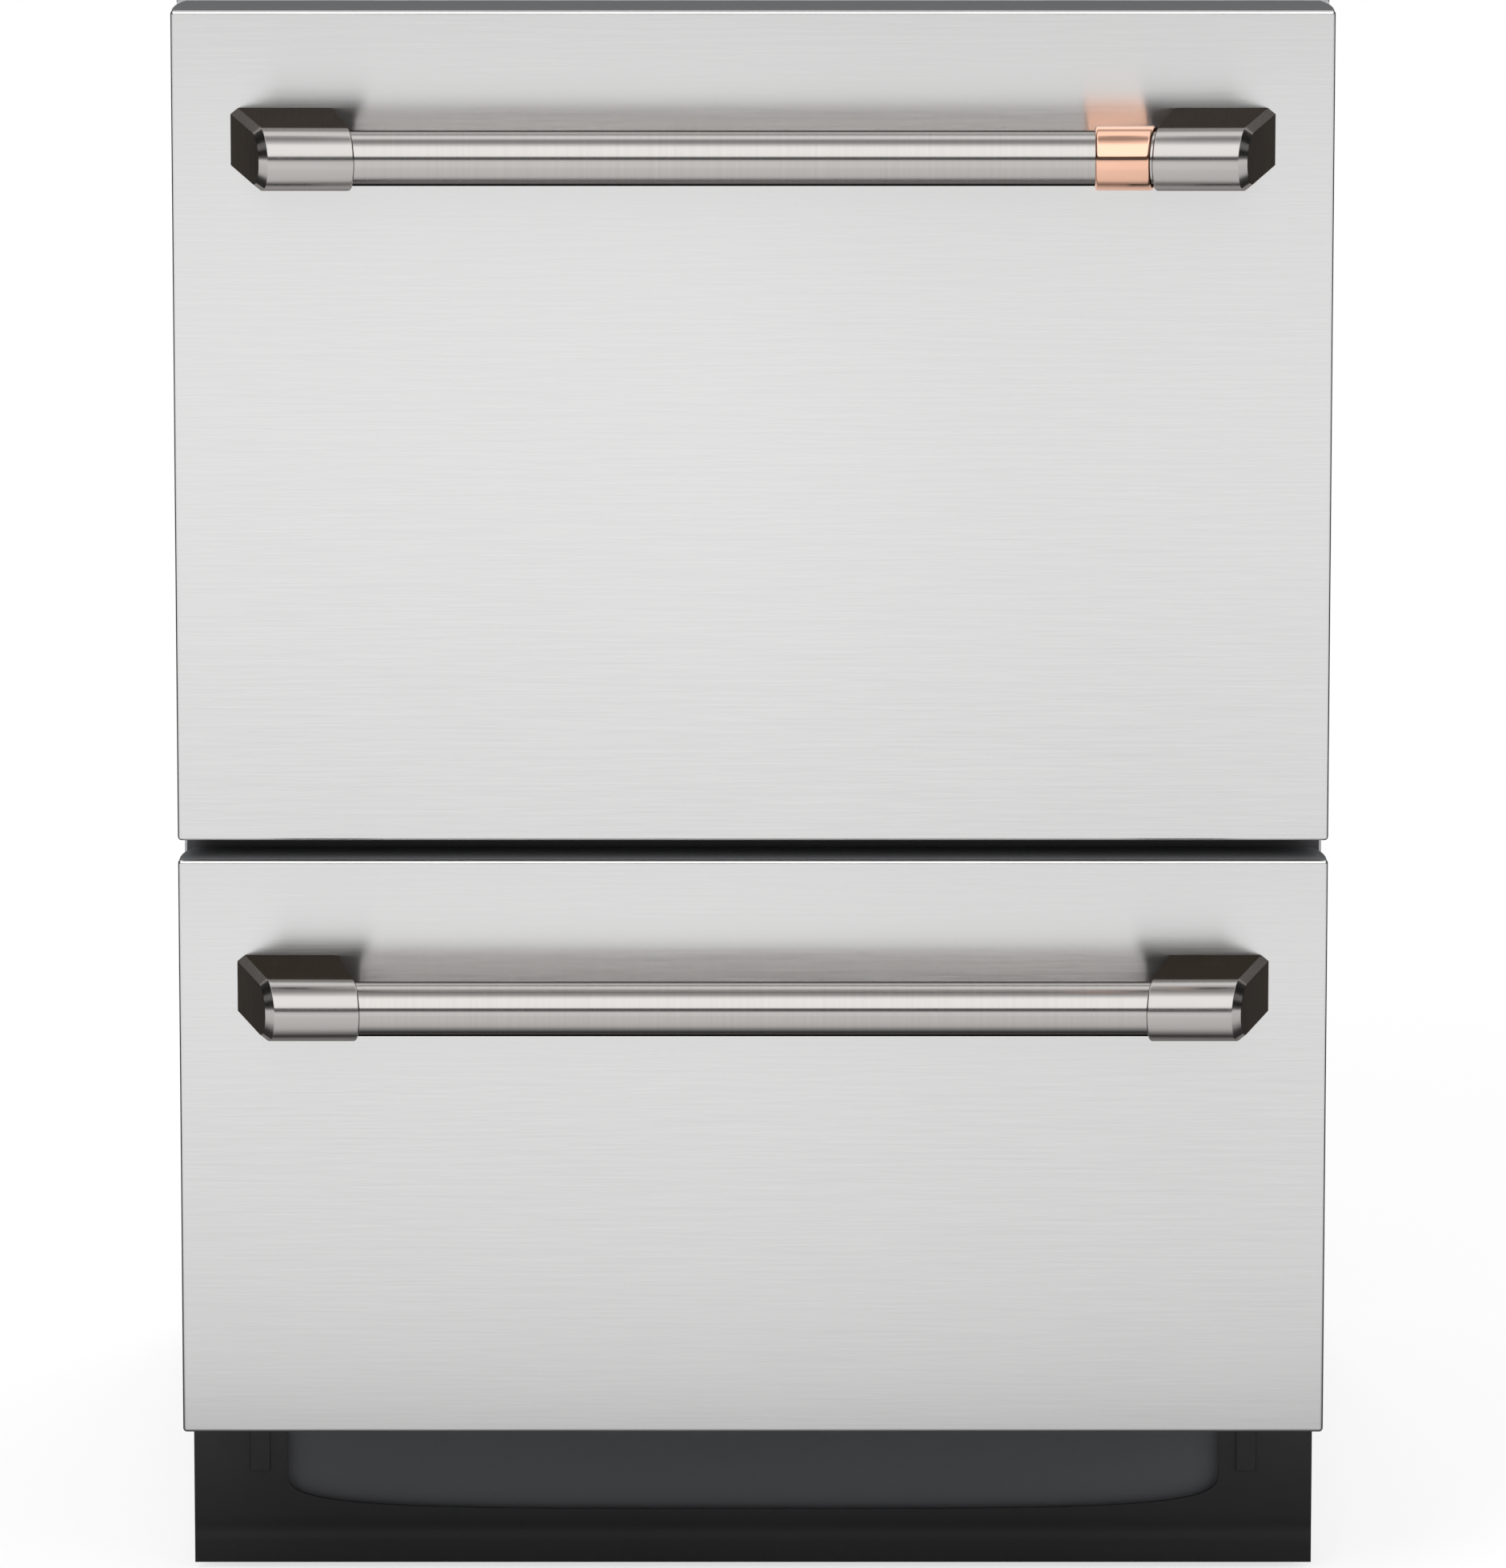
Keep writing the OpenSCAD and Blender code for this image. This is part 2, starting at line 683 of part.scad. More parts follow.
module lid(rim) {
    z = rim + fit + seal_t;
    half = tub_half + lid_over;
    wall = 2.5;
    color("gray") {
        difference() {
            tub_outline(lid_over, z, lid_h);
            tub_outline(lid_over - wall, z + 3, lid_h);
        }
        // ribs on top
        intersection() {
            tub_outline(lid_over - 1, z, lid_h);
            union() {
                for (x = [-200 : 100 : 200])
                    block([x - 1, x + 1], [tub_front - 10, tub_back + 10], [z + 2, z + lid_h - 4]);
                for (y = [tub_front + 60 : 90 : tub_back - 50])
                    block([-half, half], [y - 1, y + 1], [z + 2, z + lid_h - 4]);
            }
        }
        // lugs that the lifters' rods raise
        both_sides() difference() {
            block([half - wall, cab_in - 2], [lifter_y - 12, lifter_y + 12], [z + 1, z + 1 + lug_h]);
            rod_z([rod_x_at, lifter_y, z], rod_r + running, lug_h - 1);
        }
    }
}

module lid_rods(rim) {
    top = rim + fit + seal_t + lug_h - 1 - running;
    color("silver") both_sides() rod_z([rod_x_at, lifter_y, rim - rod_len], rod_r, top - rim + rod_len);
}

module lid_seal(rim) {
    color("black") difference() {
        tub_outline(lid_over - 1, rim + fit, seal_t);
        tub_outline(-tub_wall + 1, rim + fit - past, seal_t + 2 * past);
    }
}

module lid_lifters() {
    color("dimgray") for (top = [upper_top, lower_top]) both_sides() {
        rim = top - rim_drop;
        difference() {
            block(lifter_w, [lifter_y - lifter_len / 2, lifter_y + lifter_len / 2],
                  [rim - 3 - lifter_h, rim - 3]);
            rod_z([rod_x_at, lifter_y, rim - rod_len - lid_lift], rod_r + running, rod_len + lid_lift + past);
            // stepped corner of the gear case
            block([lifter_w[0] - past, lifter_w[1] - 4], [lifter_y + 12, lifter_y + lifter_len],
                  [rim - 30, rim + past]);
        }
    }
}

// ---- washing parts ----

spindle_r = 7;
arm_z = 8;
arm_h = 11;
arm_r = 215;

module spray_arm(rim, depth) {
    floor_z = rim - depth;
    color("dimgray") translate([0, tub_mid, floor_z + arm_z]) difference() {
        union() {
            linear_extrude(arm_h) {
                circle(r = 34);
                for (a = [0, 180]) rotate(a) {
                    polygon([[0, -28], [arm_r - 16, -15], [arm_r - 16, 15], [0, 28]]);
                    translate([arm_r - 16, 0]) circle(r = 15);
                }
            }
            cylinder(r1 = 26, r2 = 18, h = arm_h + 6);
            // raised water channel along each arm
            for (a = [0, 180]) rotate(a)
                translate([20, 0, arm_h - 1]) linear_extrude(3) {
                    polygon([[0, -12], [arm_r - 50, -6], [arm_r - 50, 6], [0, 12]]);
                    translate([arm_r - 50, 0]) circle(r = 6);
                }
        }
        translate([0, 0, -past]) cylinder(r = spindle_r + running, h = arm_h + 20);
        // jets
        for (a = [0, 180], x = [50 : 25 : 180]) rotate(a)
            translate([x, 2, arm_h - 4]) cylinder(r = 2, h = 12);
        for (a = [0, 180]) rotate(a) translate([arm_r - 14, 0, arm_h / 2]) cylinder(r = 2.5, h = 20);
    }
}

module filter_plate(rim, depth) {
    floor_z = rim - depth;
    r = sump_r + 13;
    color("silver") translate([0, tub_mid, floor_z]) difference() {
        union() {
            cylinder(r = r, h = 2);
            cylinder(r = spindle_r, h = arm_z + arm_h + 7);
            cylinder(r = 12, h = arm_z - fit);
            // raised collar of the drain filter
            translate([58, 0, 0]) cylinder(r = 22, h = 5);
        }
        for (ring = [40 : 10 : 90], a = [35 : 1200 / ring : 325]) rotate(a)
            translate([ring, 0, -past]) cylinder(r = 2, h = 4);
        // finger hole of the drain filter
        translate([58, 0, 2]) cylinder(r = 17, h = 5);
        for (a = [0 : 45 : 315]) translate([58, 0, 0]) rotate(a)
            translate([10, 0, -past]) cylinder(r = 2.5, h = 6);
    }
}

motor_h = 30;

module wash_motor(rim, depth) {
    top = rim - depth - sump_depth - tub_wall;
    color("dimgray") translate([0, tub_mid, top - motor_h]) {
        translate([0, 0, 8]) cylinder(r = 74, h = motor_h - 8);
        cylinder(r = 60, h = 9);
        for (a = [0 : 30 : 330]) rotate(a) block([58, 74], [-1.5, 1.5], [3, 9]);
        // drain pump on the side
        rod_x([70, 0, motor_h / 2], 14, 60);
        rod_y([108, -42, motor_h / 2], 9, 42);
        block([-110, -70], [-20, 20], [motor_h / 2 - 8, motor_h / 2 + 8]);
    }
}

// ---- dispenser ----

dispenser_x = [window_x[0] - 64, window_x[1] + 6];
dispenser_z = [window_z[0] - 6, window_z[1] + 6];
dispenser_in = 12;
dispenser_back = 26;
dispenser_face = tub_front + tub_wall + dispenser_in;
cup_x = [-74, -12];
cup_z = [-88, -38];
flap_edge = 4;
flap_t = 2.4;
flap_play = 0.1;
guide = 2.2;
cap_at = [36, -60];
cap_knob_r = 17;
cap_plug_r = 12;

module dispenser(rim) {
    wall_in = tub_front + tub_wall;
    low = rim + cup_z[0] - flap_edge;
    high = rim + cup_z[1] + flap_edge;
    guide_x = [dispenser_x[0] + 2, cup_x[1] + flap_edge + 3];
    front = dispenser_face + flap_t + guide;
    color("lightslategray") difference() {
        union() {
            block(dispenser_x, [wall_in, dispenser_face], [rim + dispenser_z[0], rim + dispenser_z[1]]);
            block([window_x[0] + fit, window_x[1] - fit], [tub_front - dispenser_back, wall_in + 1],
                  [rim + window_z[0] + fit, rim + window_z[1] - fit]);
            // guides that the cover slides in
            for (z = [[low - fit - guide, low - fit], [high + fit, high + fit + guide]])
                block(guide_x, [dispenser_face - 1, front], z);
            for (z = [[low - guide, low + 2], [high - 2, high + guide]])
                block(guide_x, [dispenser_face + flap_t + flap_play, front], z);
            // stop at the closed end
            block([guide_x[1] - guide, guide_x[1]], [dispenser_face - 1, front], [low - guide, high + guide]);
        }
        block(cup_x, [tub_front - dispenser_back + 3, dispenser_face + past], [rim + cup_z[0], rim + cup_z[1]]);
        rod_y([cap_at[0], dispenser_face - 8, rim + cap_at[1]], cap_plug_r + fit, 8 + past);
    }
}

module detergent_flap(rim) {
    x = [cup_x[0] - flap_edge, cup_x[1] + flap_edge];
    z = [rim + cup_z[0] - flap_edge, rim + cup_z[1] + flap_edge];
    color("slategray") {
        block(x, [dispenser_face + flap_play, dispenser_face + flap_t], z);
        block([x[0] + 1, x[1] - 1], [dispenser_face + 1, dispenser_face + flap_t + 1.6], [z[0] + 3, z[1] - 3]);
        // finger grip
        block([x[0] + 4, x[0] + 8], [dispenser_face + 2, dispenser_face + 7], [z[0] + 12, z[1] - 12]);
    }
}

module rinse_cap(rim) {
    color("slategray") translate([cap_at[0], dispenser_face + fit, rim + cap_at[1]]) rotate([-90, 0, 0]) difference() {
        union() {
            cylinder(r = cap_knob_r, h = 4);
            translate([0, 0, -7]) cylinder(r = cap_plug_r, h = 8);
            translate([0, 0, 3]) linear_extrude(7) square([26, 6], center = true);
        }
        for (a = [0 : 30 : 330]) rotate(a) translate([cap_knob_r + 0.6, 0, -past]) cylinder(r = 1.5, h = 4 + 2 * past);
    }
}

// ---- racks ----

rack_side = 12;
rack_lift_z = 34;
rack_half = tub_half - tub_wall - rack_side;
rack_y = [tub_front + tub_wall + 28, tub_back - tub_wall - 21];
rack_cells = 5;
rack_step = (rack_half - 27.4) / rack_cells;
floor_wire_d = 3;
cross_d = 3.4;
post_d = 2.6;
eye_w = 3;
touch = 0.1;        // gap between two wire panels that are welded together on the real rack

function rack_at(f) = rack_y[0] + f * (rack_y[1] - rack_y[0]);

// A wire of eight flats between two points along one axis
module wire_x(x, y, z, d) {
    translate([x[0], y, z]) rotate([0, 90, 0]) rotate(22.5) cylinder(d = d, h = x[1] - x[0], $fn = 8);
}

module wire_y(x, y, z, d) {
    translate([x, y[0], z]) rotate([-90, 0, 0]) rotate(22.5) cylinder(d = d, h = y[1] - y[0], $fn = 8);
}

module wire_z(x, y, z, d) {
    translate([x, y, z[0]]) rotate(22.5) cylinder(d = d, h = z[1] - z[0], $fn = 8);
}

// heights of a rack's floor wires and of the row wires on them, from the middle of its bottom wire
floor_wire_z = -(wire_d + floor_wire_d) / 2 - touch;
row_wire_z = floor_wire_z + (floor_wire_d + cross_d) / 2 + touch;
row_half = rack_half - (wire_d + 0.5) / 2 - 2 * touch;

// A side wall, standing on two legs on the slope round the tub's floor
module rack_side_wall(z, h) {
    slope_up = rack_half + wire_d / 2 - (tub_half - tub_wall - floor_slope);
    wire_y(rack_half, [rack_y[0] - 1.2, rack_y[1] + 1.2], z, wire_d);
    wire_y(rack_half, [rack_y[0] - 1.1, rack_y[1] + 1.1], z + h * 0.55, wire_d - 0.5);
    wire_y(rack_half, [rack_y[0] - 1, rack_y[1] + 1], z + h, wire_d + 0.5);
    for (i = [1 : 4]) wire_z(rack_half, rack_at((i + 0.5) / 6), [z - 1, z + h + 0.5], post_d);
    for (i = [0, 5])
        wire_z(rack_half, rack_at((i + 0.5) / 6), [z - rack_lift_z + slope_up + 1.3 * fit, z + h + 0.4], wire_d - 0.7);
}

// The front or back wall, between the side walls
module rack_end_wall(y, z, h) {
    wire_x([-row_half, row_half], y, z, wire_d);
    wire_x([-row_half, row_half], y, z + h * 0.55, wire_d - 0.5);
    wire_x([-row_half, row_half], y, z + h, wire_d + 0.5);
    for (i = [-rack_cells : rack_cells]) wire_z(i * rack_step, y, [z - 1, z + h + 0.5], post_d);
}

module rack_floor(z) {
    for (i = [-rack_cells : rack_cells])
        wire_y(i * rack_step, [rack_y[0] - 1.5, rack_y[1] + 1.5], z + floor_wire_z, floor_wire_d);
    for (f = [0.1, 0.9]) wire_x([-row_half, row_half], rack_at(f), z + row_wire_z - 0.6, cross_d);
}

// A row of tines on its own wire, lying on the floor wires; "last" is the place of its last tine
module tine_row(f, z, h, last) {
    wire_x([-row_half, (last + 0.8) * rack_step], rack_at(f), z + row_wire_z, cross_d);
    for (i = [-rack_cells + 0.5 : last]) wire_z(i * rack_step, rack_at(f), [z + row_wire_z - 0.5, z + h * 0.6], tine_d);
}

// One rack: floor, four walls and rows of tines; "rows" says where the rows stand
module rack(rim, depth, h, rows, last) {
    z = rim - depth + rack_lift_z;
    rack_floor(z);
    for (y = rack_y) rack_end_wall(y, z, h);
    rack_side_wall(z, h);
    for (f = rows) tine_row(f, z, h, last);
}

cup_rack_w = 100;
cup_rack_up = 14;
cup_hinge_x = -rack_half + 8;
cup_rack_y = [tub_front + 110, tub_back - 77];
cup_eye_y = [cup_rack_y[0] - 4, cup_rack_y[1] + 4];

module upper_rack() {
    z = upper_rim - upper_tub_depth + rack_lift_z;
    zc = z + upper_rack_h + cup_rack_up;
    color("slategray") {
        rack(upper_rim, upper_tub_depth, upper_rack_h, [0.2, 0.4, 0.6, 0.8], 2.5);
        // the left wall also has the posts and eyes that carry the cup rack
        difference() {
            union() {
                mirror([1, 0, 0]) rack_side_wall(z, upper_rack_h);
                for (y = cup_eye_y) {
                    wire_z(-rack_half, y, [z + upper_rack_h * 0.55, zc - 3.5], wire_d);
                    block([-rack_half - 2.5, cup_hinge_x + 4], [y - eye_w, y + eye_w], [zc - 4.5, zc + 4.5]);
                }
            }
            rod_y([cup_hinge_x, cup_eye_y[0] - 10, zc], wire_d / 2 + running, cup_eye_y[1] - cup_eye_y[0] + 20);
        }
    }
}

module cup_rack() {
    z = upper_rim - upper_tub_depth + rack_lift_z + upper_rack_h + cup_rack_up;
    color("slategray") {
        wire_y(cup_hinge_x, [cup_rack_y[0] - 8, cup_rack_y[1] + 8], z, wire_d);
        wire_y(cup_hinge_x + cup_rack_w, cup_rack_y, z, wire_d);
        wire_y(cup_hinge_x + cup_rack_w / 2, cup_rack_y, z + 2, wire_d - 1);
        for (i = [0 : 9])
            wire_x([cup_hinge_x - 1, cup_hinge_x + cup_rack_w + 1],
                   cup_rack_y[0] + 1.5 + i * (cup_rack_y[1] - cup_rack_y[0] - 3) / 9, z + 0.6, tine_d);
    }
}

fold_up = 6;
fold_len = 62;
fold_end = [-rack_half + 37.4, rack_half - 147.4];
fold_eye_x = [fold_end[0] + 35, fold_end[0] + 185, fold_end[1] - 25];

module lower_rack() {
    z = lower_rim - lower_tub_depth + rack_lift_z;
    color("slategray") {
        rack(lower_rim, lower_tub_depth, lower_rack_h, [0.18, 0.33, 0.67, 0.82], 4.5);
        mirror([1, 0, 0]) rack_side_wall(z, lower_rack_h);
        // wire and eyes that carry the folding tines
        difference() {
            union() {
                wire_x([-row_half, row_half], rack_at(0.5), z + row_wire_z, cross_d);
                for (x = fold_eye_x)
                    block([x - eye_w, x + eye_w], [rack_at(0.5) - 4.5, rack_at(0.5) + 4.5],
                          [z + row_wire_z - cross_d / 2 + 0.1, z + fold_up + 4.5]);
            }
            rod_x([fold_eye_x[0] - 10, rack_at(0.5), z + fold_up], wire_d / 2 + running,
                  fold_eye_x[2] - fold_eye_x[0] + 20);
        }
    }
}

module fold_tines() {
    z = lower_rim - lower_tub_depth + rack_lift_z + fold_up;
    color("slategray") translate([0, rack_at(0.5), z]) rotate([-5, 0, 0]) {
        wire_x(fold_end, 0, 0, wire_d);
        for (x = [fold_end[0] + 20 : 30 : fold_end[1] - 10]) wire_z(x, 0.4, [-1, fold_len], tine_d);
        wire_x([fold_end[0] + 20, fold_end[1] - 10], 0.6, fold_len - 18, tine_d + 0.2);
    }
}

basket_x = [rack_half - 99.4, rack_half - 19.4];
basket_y = [tub_front + 190, tub_front + 410];
basket_h = 112;

module cutlery_basket(rim, depth) {
    z = rim - depth + rack_lift_z + floor_wire_z + floor_wire_d / 2 + fit;
    wall = 2;
    cells = 5;
    bridge = 6;
    cell = (basket_y[1] - basket_y[0]) / cells;
    mid = (basket_x[0] + basket_x[1]) / 2;
    inside = [basket_x[0] + wall + touch, basket_x[1] - wall - touch];
    // panels that clip together: two long sides, two ends, a floor, dividers and a handle bridge
    color("slategray") {
        for (x = [basket_x[0], basket_x[1] - wall]) difference() {
            block([x, x + wall], basket_y, [z, z + basket_h]);
            for (i = [0 : cells - 1], k = [0 : 2])
                block([x - past, x + wall + past], [basket_y[0] + i * cell + 6, basket_y[0] + (i + 1) * cell - 6],
                      [z + 12 + k * 26, z + 30 + k * 26]);
        }
        for (y = [basket_y[0], basket_y[1] - wall]) block(inside, [y, y + wall], [z, z + basket_h - bridge - touch]);
        difference() {
            block(inside, [basket_y[0] + wall + touch, basket_y[1] - wall - touch], [z, z + wall]);
            for (i = [0 : cells - 1], x = [-28, -10, 8])
                block([mid + x, mid + x + 12], [basket_y[0] + i * cell + 6, basket_y[0] + (i + 1) * cell - 6],
                      [z - past, z + wall + past]);
        }
        for (i = [1 : cells - 1])
            block(inside, [basket_y[0] + i * cell - wall / 2, basket_y[0] + i * cell + wall / 2],
                  [z + wall + touch, z + basket_h - 20]);
        block([mid - bridge / 2, mid + bridge / 2], basket_y, [z + basket_h - bridge, z + basket_h]);
    }
}

service_z = lower_bottom - 29.5;
inlet_x = cab_in - 90.8;
drain_x = cab_in - 175.8;
junction_x = [-(cab_in - 59.8), -(cab_in - 145.8)];
junction_y = [service_y - 88, service_y - 18];
box_over = 20;      // height of the junction box above the line of the connections
valve_w = 40;
valve_y = [service_y - 62, service_y - 22];
spout_y = [service_y - 52, service_y - 28];
spout_w = 32;

module inlet_valve() {
    color("white") translate([inlet_x, 0, 0]) {
        block([-valve_w / 2, valve_w / 2], valve_y, [tray_z + sheet, service_z + 16]);
        rod_y([0, valve_y[1] - 1, service_z], inlet_r + 3, 6);
        rod_y([0, service_y - 18, service_z], inlet_r, 18);
        rod_z([0, valve_y[0] + valve_w / 2, service_z + 15], 15, 22);
    }
}

module drain_connector() {
    color("black") translate([drain_x, 0, 0]) {
        block([-spout_w / 2, spout_w / 2], spout_y, [tray_z + sheet, service_z + 14]);
        rod_y([0, spout_y[1] - 1, service_z], drain_r, service_y - spout_y[1] + 1);
        rod_y([0, spout_y[1] - 1, service_z], drain_r + 2.5, 4);
    }
}

module junction_box() {
    front_t = 1.5;
    color("lightgray") difference() {
        block(junction_x, junction_y, [tray_z + sheet, service_z + box_over]);
        block([junction_x[0] + sheet, junction_x[1] - sheet], [junction_y[0] + sheet, junction_y[1] - front_t],
              [tray_z + 2 * sheet, service_z + box_over - sheet]);
        rod_y([(junction_x[0] + junction_x[1]) / 2, junction_y[1] - 2 * front_t, service_z], conduit_r, 4 * front_t);
    }
}

// ---- nodes ----

module placed() {
    translate([0, y_face, 0]) children();
}

placed() mirror([1, 0, 0]) side_panel();  // left_side_panel
placed() side_panel();  // right_side_panel
placed() top_panel();
placed() back_panel();
placed() base_tray();
placed() mid_rail();
placed() kick_plate();
placed() plinth_panel();
placed() cabinet_rails();
placed() lid_lifters();
placed() inlet_valve();
placed() drain_connector();
placed() junction_box();
placed() cabinet_screws();
placed() foot(-1, foot_y[0]);  // front_left_foot
placed() foot(1, foot_y[0]);  // front_right_foot
placed() foot(-1, foot_y[1]);  // rear_left_foot
placed() foot(1, foot_y[1]);  // rear_right_foot

placed() tub(upper_rim, upper_tub_depth);  // upper_tub
placed() front_skin(upper_top, upper_door_h);  // upper_front_skin
placed() front_liner(upper_top, upper_door_h);  // upper_front_liner
placed() control_strip(upper_rim);  // upper_control_strip
placed() power_button(upper_rim);  // upper_power_button
placed() handle_bar(upper_top);  // upper_handle_bar
placed() handle_caps(upper_top);  // upper_handle_caps
placed() handle_band(upper_top);  // upper_handle_band
placed() drawer_rails(upper_rim);  // upper_drawer_rails
placed() middle_rails(upper_rim);  // upper_middle_rails
placed() lid(upper_rim);  // upper_lid
placed() lid_rods(upper_rim);  // upper_lid_rods
placed() lid_seal(upper_rim);  // upper_lid_seal
placed() spray_arm(upper_rim, upper_tub_depth);  // upper_spray_arm
placed() wash_motor(upper_rim, upper_tub_depth);  // upper_wash_motor
placed() dispenser(upper_rim);  // upper_dispenser
placed() detergent_flap(upper_rim);  // upper_detergent_flap
placed() rinse_cap(upper_rim);  // upper_rinse_cap
placed() filter_plate(upper_rim, upper_tub_depth);  // upper_filter_plate
placed() upper_rack();
placed() cup_rack();  // upper_cup_rack
placed() cutlery_basket(upper_rim, upper_tub_depth);  // upper_cutlery_basket

placed() tub(lower_rim, lower_tub_depth);  // lower_tub
placed() front_skin(lower_top, lower_door_h);  // lower_front_skin
placed() front_liner(lower_top, lower_door_h);  // lower_front_liner
placed() control_strip(lower_rim);  // lower_control_strip
placed() power_button(lower_rim);  // lower_power_button
placed() handle_bar(lower_top);  // lower_handle_bar
placed() handle_caps(lower_top);  // lower_handle_caps
placed() drawer_rails(lower_rim);  // lower_drawer_rails
placed() middle_rails(lower_rim);  // lower_middle_rails
placed() lid(lower_rim);  // lower_lid
placed() lid_rods(lower_rim);  // lower_lid_rods
placed() lid_seal(lower_rim);  // lower_lid_seal
placed() spray_arm(lower_rim, lower_tub_depth);  // lower_spray_arm
placed() wash_motor(lower_rim, lower_tub_depth);  // lower_wash_motor
placed() dispenser(lower_rim);  // lower_dispenser
placed() detergent_flap(lower_rim);  // lower_detergent_flap
placed() rinse_cap(lower_rim);  // lower_rinse_cap
placed() filter_plate(lower_rim, lower_tub_depth);  // lower_filter_plate
placed() lower_rack();
placed() fold_tines();  // lower_fold_tines
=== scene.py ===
import bpy
import bmesh
import json
import math
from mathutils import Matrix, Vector


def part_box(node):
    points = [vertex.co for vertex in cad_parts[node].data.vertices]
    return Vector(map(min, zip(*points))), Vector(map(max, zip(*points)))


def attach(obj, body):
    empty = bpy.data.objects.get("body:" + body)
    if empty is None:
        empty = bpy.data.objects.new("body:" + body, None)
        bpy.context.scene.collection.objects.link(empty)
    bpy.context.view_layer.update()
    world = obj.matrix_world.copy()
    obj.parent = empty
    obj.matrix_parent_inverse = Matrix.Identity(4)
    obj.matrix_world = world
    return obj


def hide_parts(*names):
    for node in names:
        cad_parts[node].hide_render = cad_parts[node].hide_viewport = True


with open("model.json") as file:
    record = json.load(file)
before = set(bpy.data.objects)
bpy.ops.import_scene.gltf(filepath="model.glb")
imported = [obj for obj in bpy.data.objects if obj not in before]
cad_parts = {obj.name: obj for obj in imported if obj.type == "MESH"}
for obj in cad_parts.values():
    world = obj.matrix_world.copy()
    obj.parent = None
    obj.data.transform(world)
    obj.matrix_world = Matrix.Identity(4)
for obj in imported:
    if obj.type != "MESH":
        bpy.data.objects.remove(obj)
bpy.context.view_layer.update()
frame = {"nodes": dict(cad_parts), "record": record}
print("frame loaded")

mm = 0.001


def corner(node, low):
    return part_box(node)[0 if low else 1]


doorFace = corner("upper_front_skin", True).y


class Wire:  # one output of a shader node, so that sums can be written as plain sums
    def __init__(self, finish, out):
        self.finish = finish
        self.out = out

    def __add__(self, other):
        return self.finish.maths("ADD", self, other)

    def __mul__(self, other):
        return self.finish.maths("MULTIPLY", self, other)

    def __sub__(self, other):
        return self.finish.maths("SUBTRACT", self, other)

    def __rsub__(self, other):
        return self.finish.maths("SUBTRACT", other, self)

    def __truediv__(self, other):
        return self.finish.maths("DIVIDE", self, other)

    def __rtruediv__(self, other):
        return self.finish.maths("DIVIDE", other, self)

    __radd__ = __add__
    __rmul__ = __mul__


class Finish:  # a material, or the world, with short ways to add nodes
    def __init__(self, tree):
        self.tree = tree

    def add(self, kind, settings, sockets, out=0):
        node = self.tree.nodes.new(kind)
        for key, value in settings.items():
            if key == "stops":
                for spot, _ in value[2:]:
                    node.color_ramp.elements.new(spot)
                for element, (spot, level) in zip(node.color_ramp.elements, value):
                    element.position = spot
                    element.color = (level, level, level, 1)
            elif key == "interpolation":
                node.color_ramp.interpolation = value
            else:
                setattr(node, key, value)
        for key, value in sockets.items():
            if isinstance(value, Wire):
                self.tree.links.new(value.out, node.inputs[key])
            else:
                node.inputs[key].default_value = value
        return Wire(self, node.outputs[out])

    def maths(self, operation, a, b):
        return self.add("ShaderNodeMath", {"operation": operation}, {0: a, 1: b})

    def ramp(self, factor, stops, mode="LINEAR"):
        return self.add("ShaderNodeValToRGB", {"stops": stops, "interpolation": mode}, {0: factor})

    def colours(self, factor, a, b, blend="MIX"):
        settings = {"data_type": "RGBA", "blend_type": blend}
        return self.add("ShaderNodeMix", settings, {0: factor, 6: a, 7: b}, out=2)

    def shades(self, factor, colour, dark, pale):  # from a darker to a paler kind of one colour
        darker = (*[c * dark for c in colour], 1)
        paler = (*[min(1, c * pale) for c in colour], 1)
        return self.colours(factor, darker, paler)

    def place(self, scale):
        where = self.add("ShaderNodeTexCoord", {}, {}, out=3)
        return self.add("ShaderNodeMapping", {}, {0: where, "Scale": scale})

    def parts(self, vector):
        node = self.add("ShaderNodeSeparateXYZ", {}, {0: vector}).out.node
        return [Wire(self, node.outputs[i]) for i in range(3)]

    def normalParts(self):
        return self.parts(self.add("ShaderNodeTexCoord", {}, {}, out=1))

    def ray(self, kind):
        return self.add("ShaderNodeLightPath", {}, {}, out=kind)

    def noise(self, scale, detail=2.0, rough=0.5):
        return self.add("ShaderNodeTexNoise", {}, {
            "Vector": self.place(scale), "Scale": 1.0, "Detail": detail, "Roughness": rough})

    def bump(self, height, distance):
        return self.add("ShaderNodeBump", {}, {"Height": height, "Distance": distance, "Strength": 1.0})


def newFinish(name, colour, metal, rough, **more):
    material = bpy.data.materials.new(name)
    material.use_nodes = True
    finish = Finish(material.node_tree)
    finish.material = material
    finish.shader = material.node_tree.nodes["Principled BSDF"]
    fixed = {"Base Color": (*colour, 1), "Metallic": metal, "Roughness": rough, **more}
    for socket, value in fixed.items():
        finish.shader.inputs[socket].default_value = value
    return finish


def feed(finish, socket, wire):
    finish.tree.links.new(wire.out, finish.shader.inputs[socket])


def shade(level):  # a written grey of 0 to 255 as the linear value that renders as it
    level = level / 255
    return level / 12.92 if level <= 0.04045 else ((level + 0.055) / 1.055) ** 2.4


def tint(red, green, blue):
    return (shade(red), shade(green), shade(blue))


# door skins, brushed from side to side: broad streaks are wider and longer than fine ones
doorGrain = {"pitch": 0.55 * mm, "length": 30 * mm, "broadPitch": 0.35, "broadLength": 0.4, "fine": 0.55,
             "broad": 0.45, "contrast": [(0.33, 0.0), (0.67, 1.0)], "dark": 0.955, "pale": 1.04, "uneven": 0.16,
             "cloud": (1.2, 1.2, 2.0), "cloudUneven": 0.05, "depth": 0.006 * mm, "stretch": 0.86, "turn": 0.25}


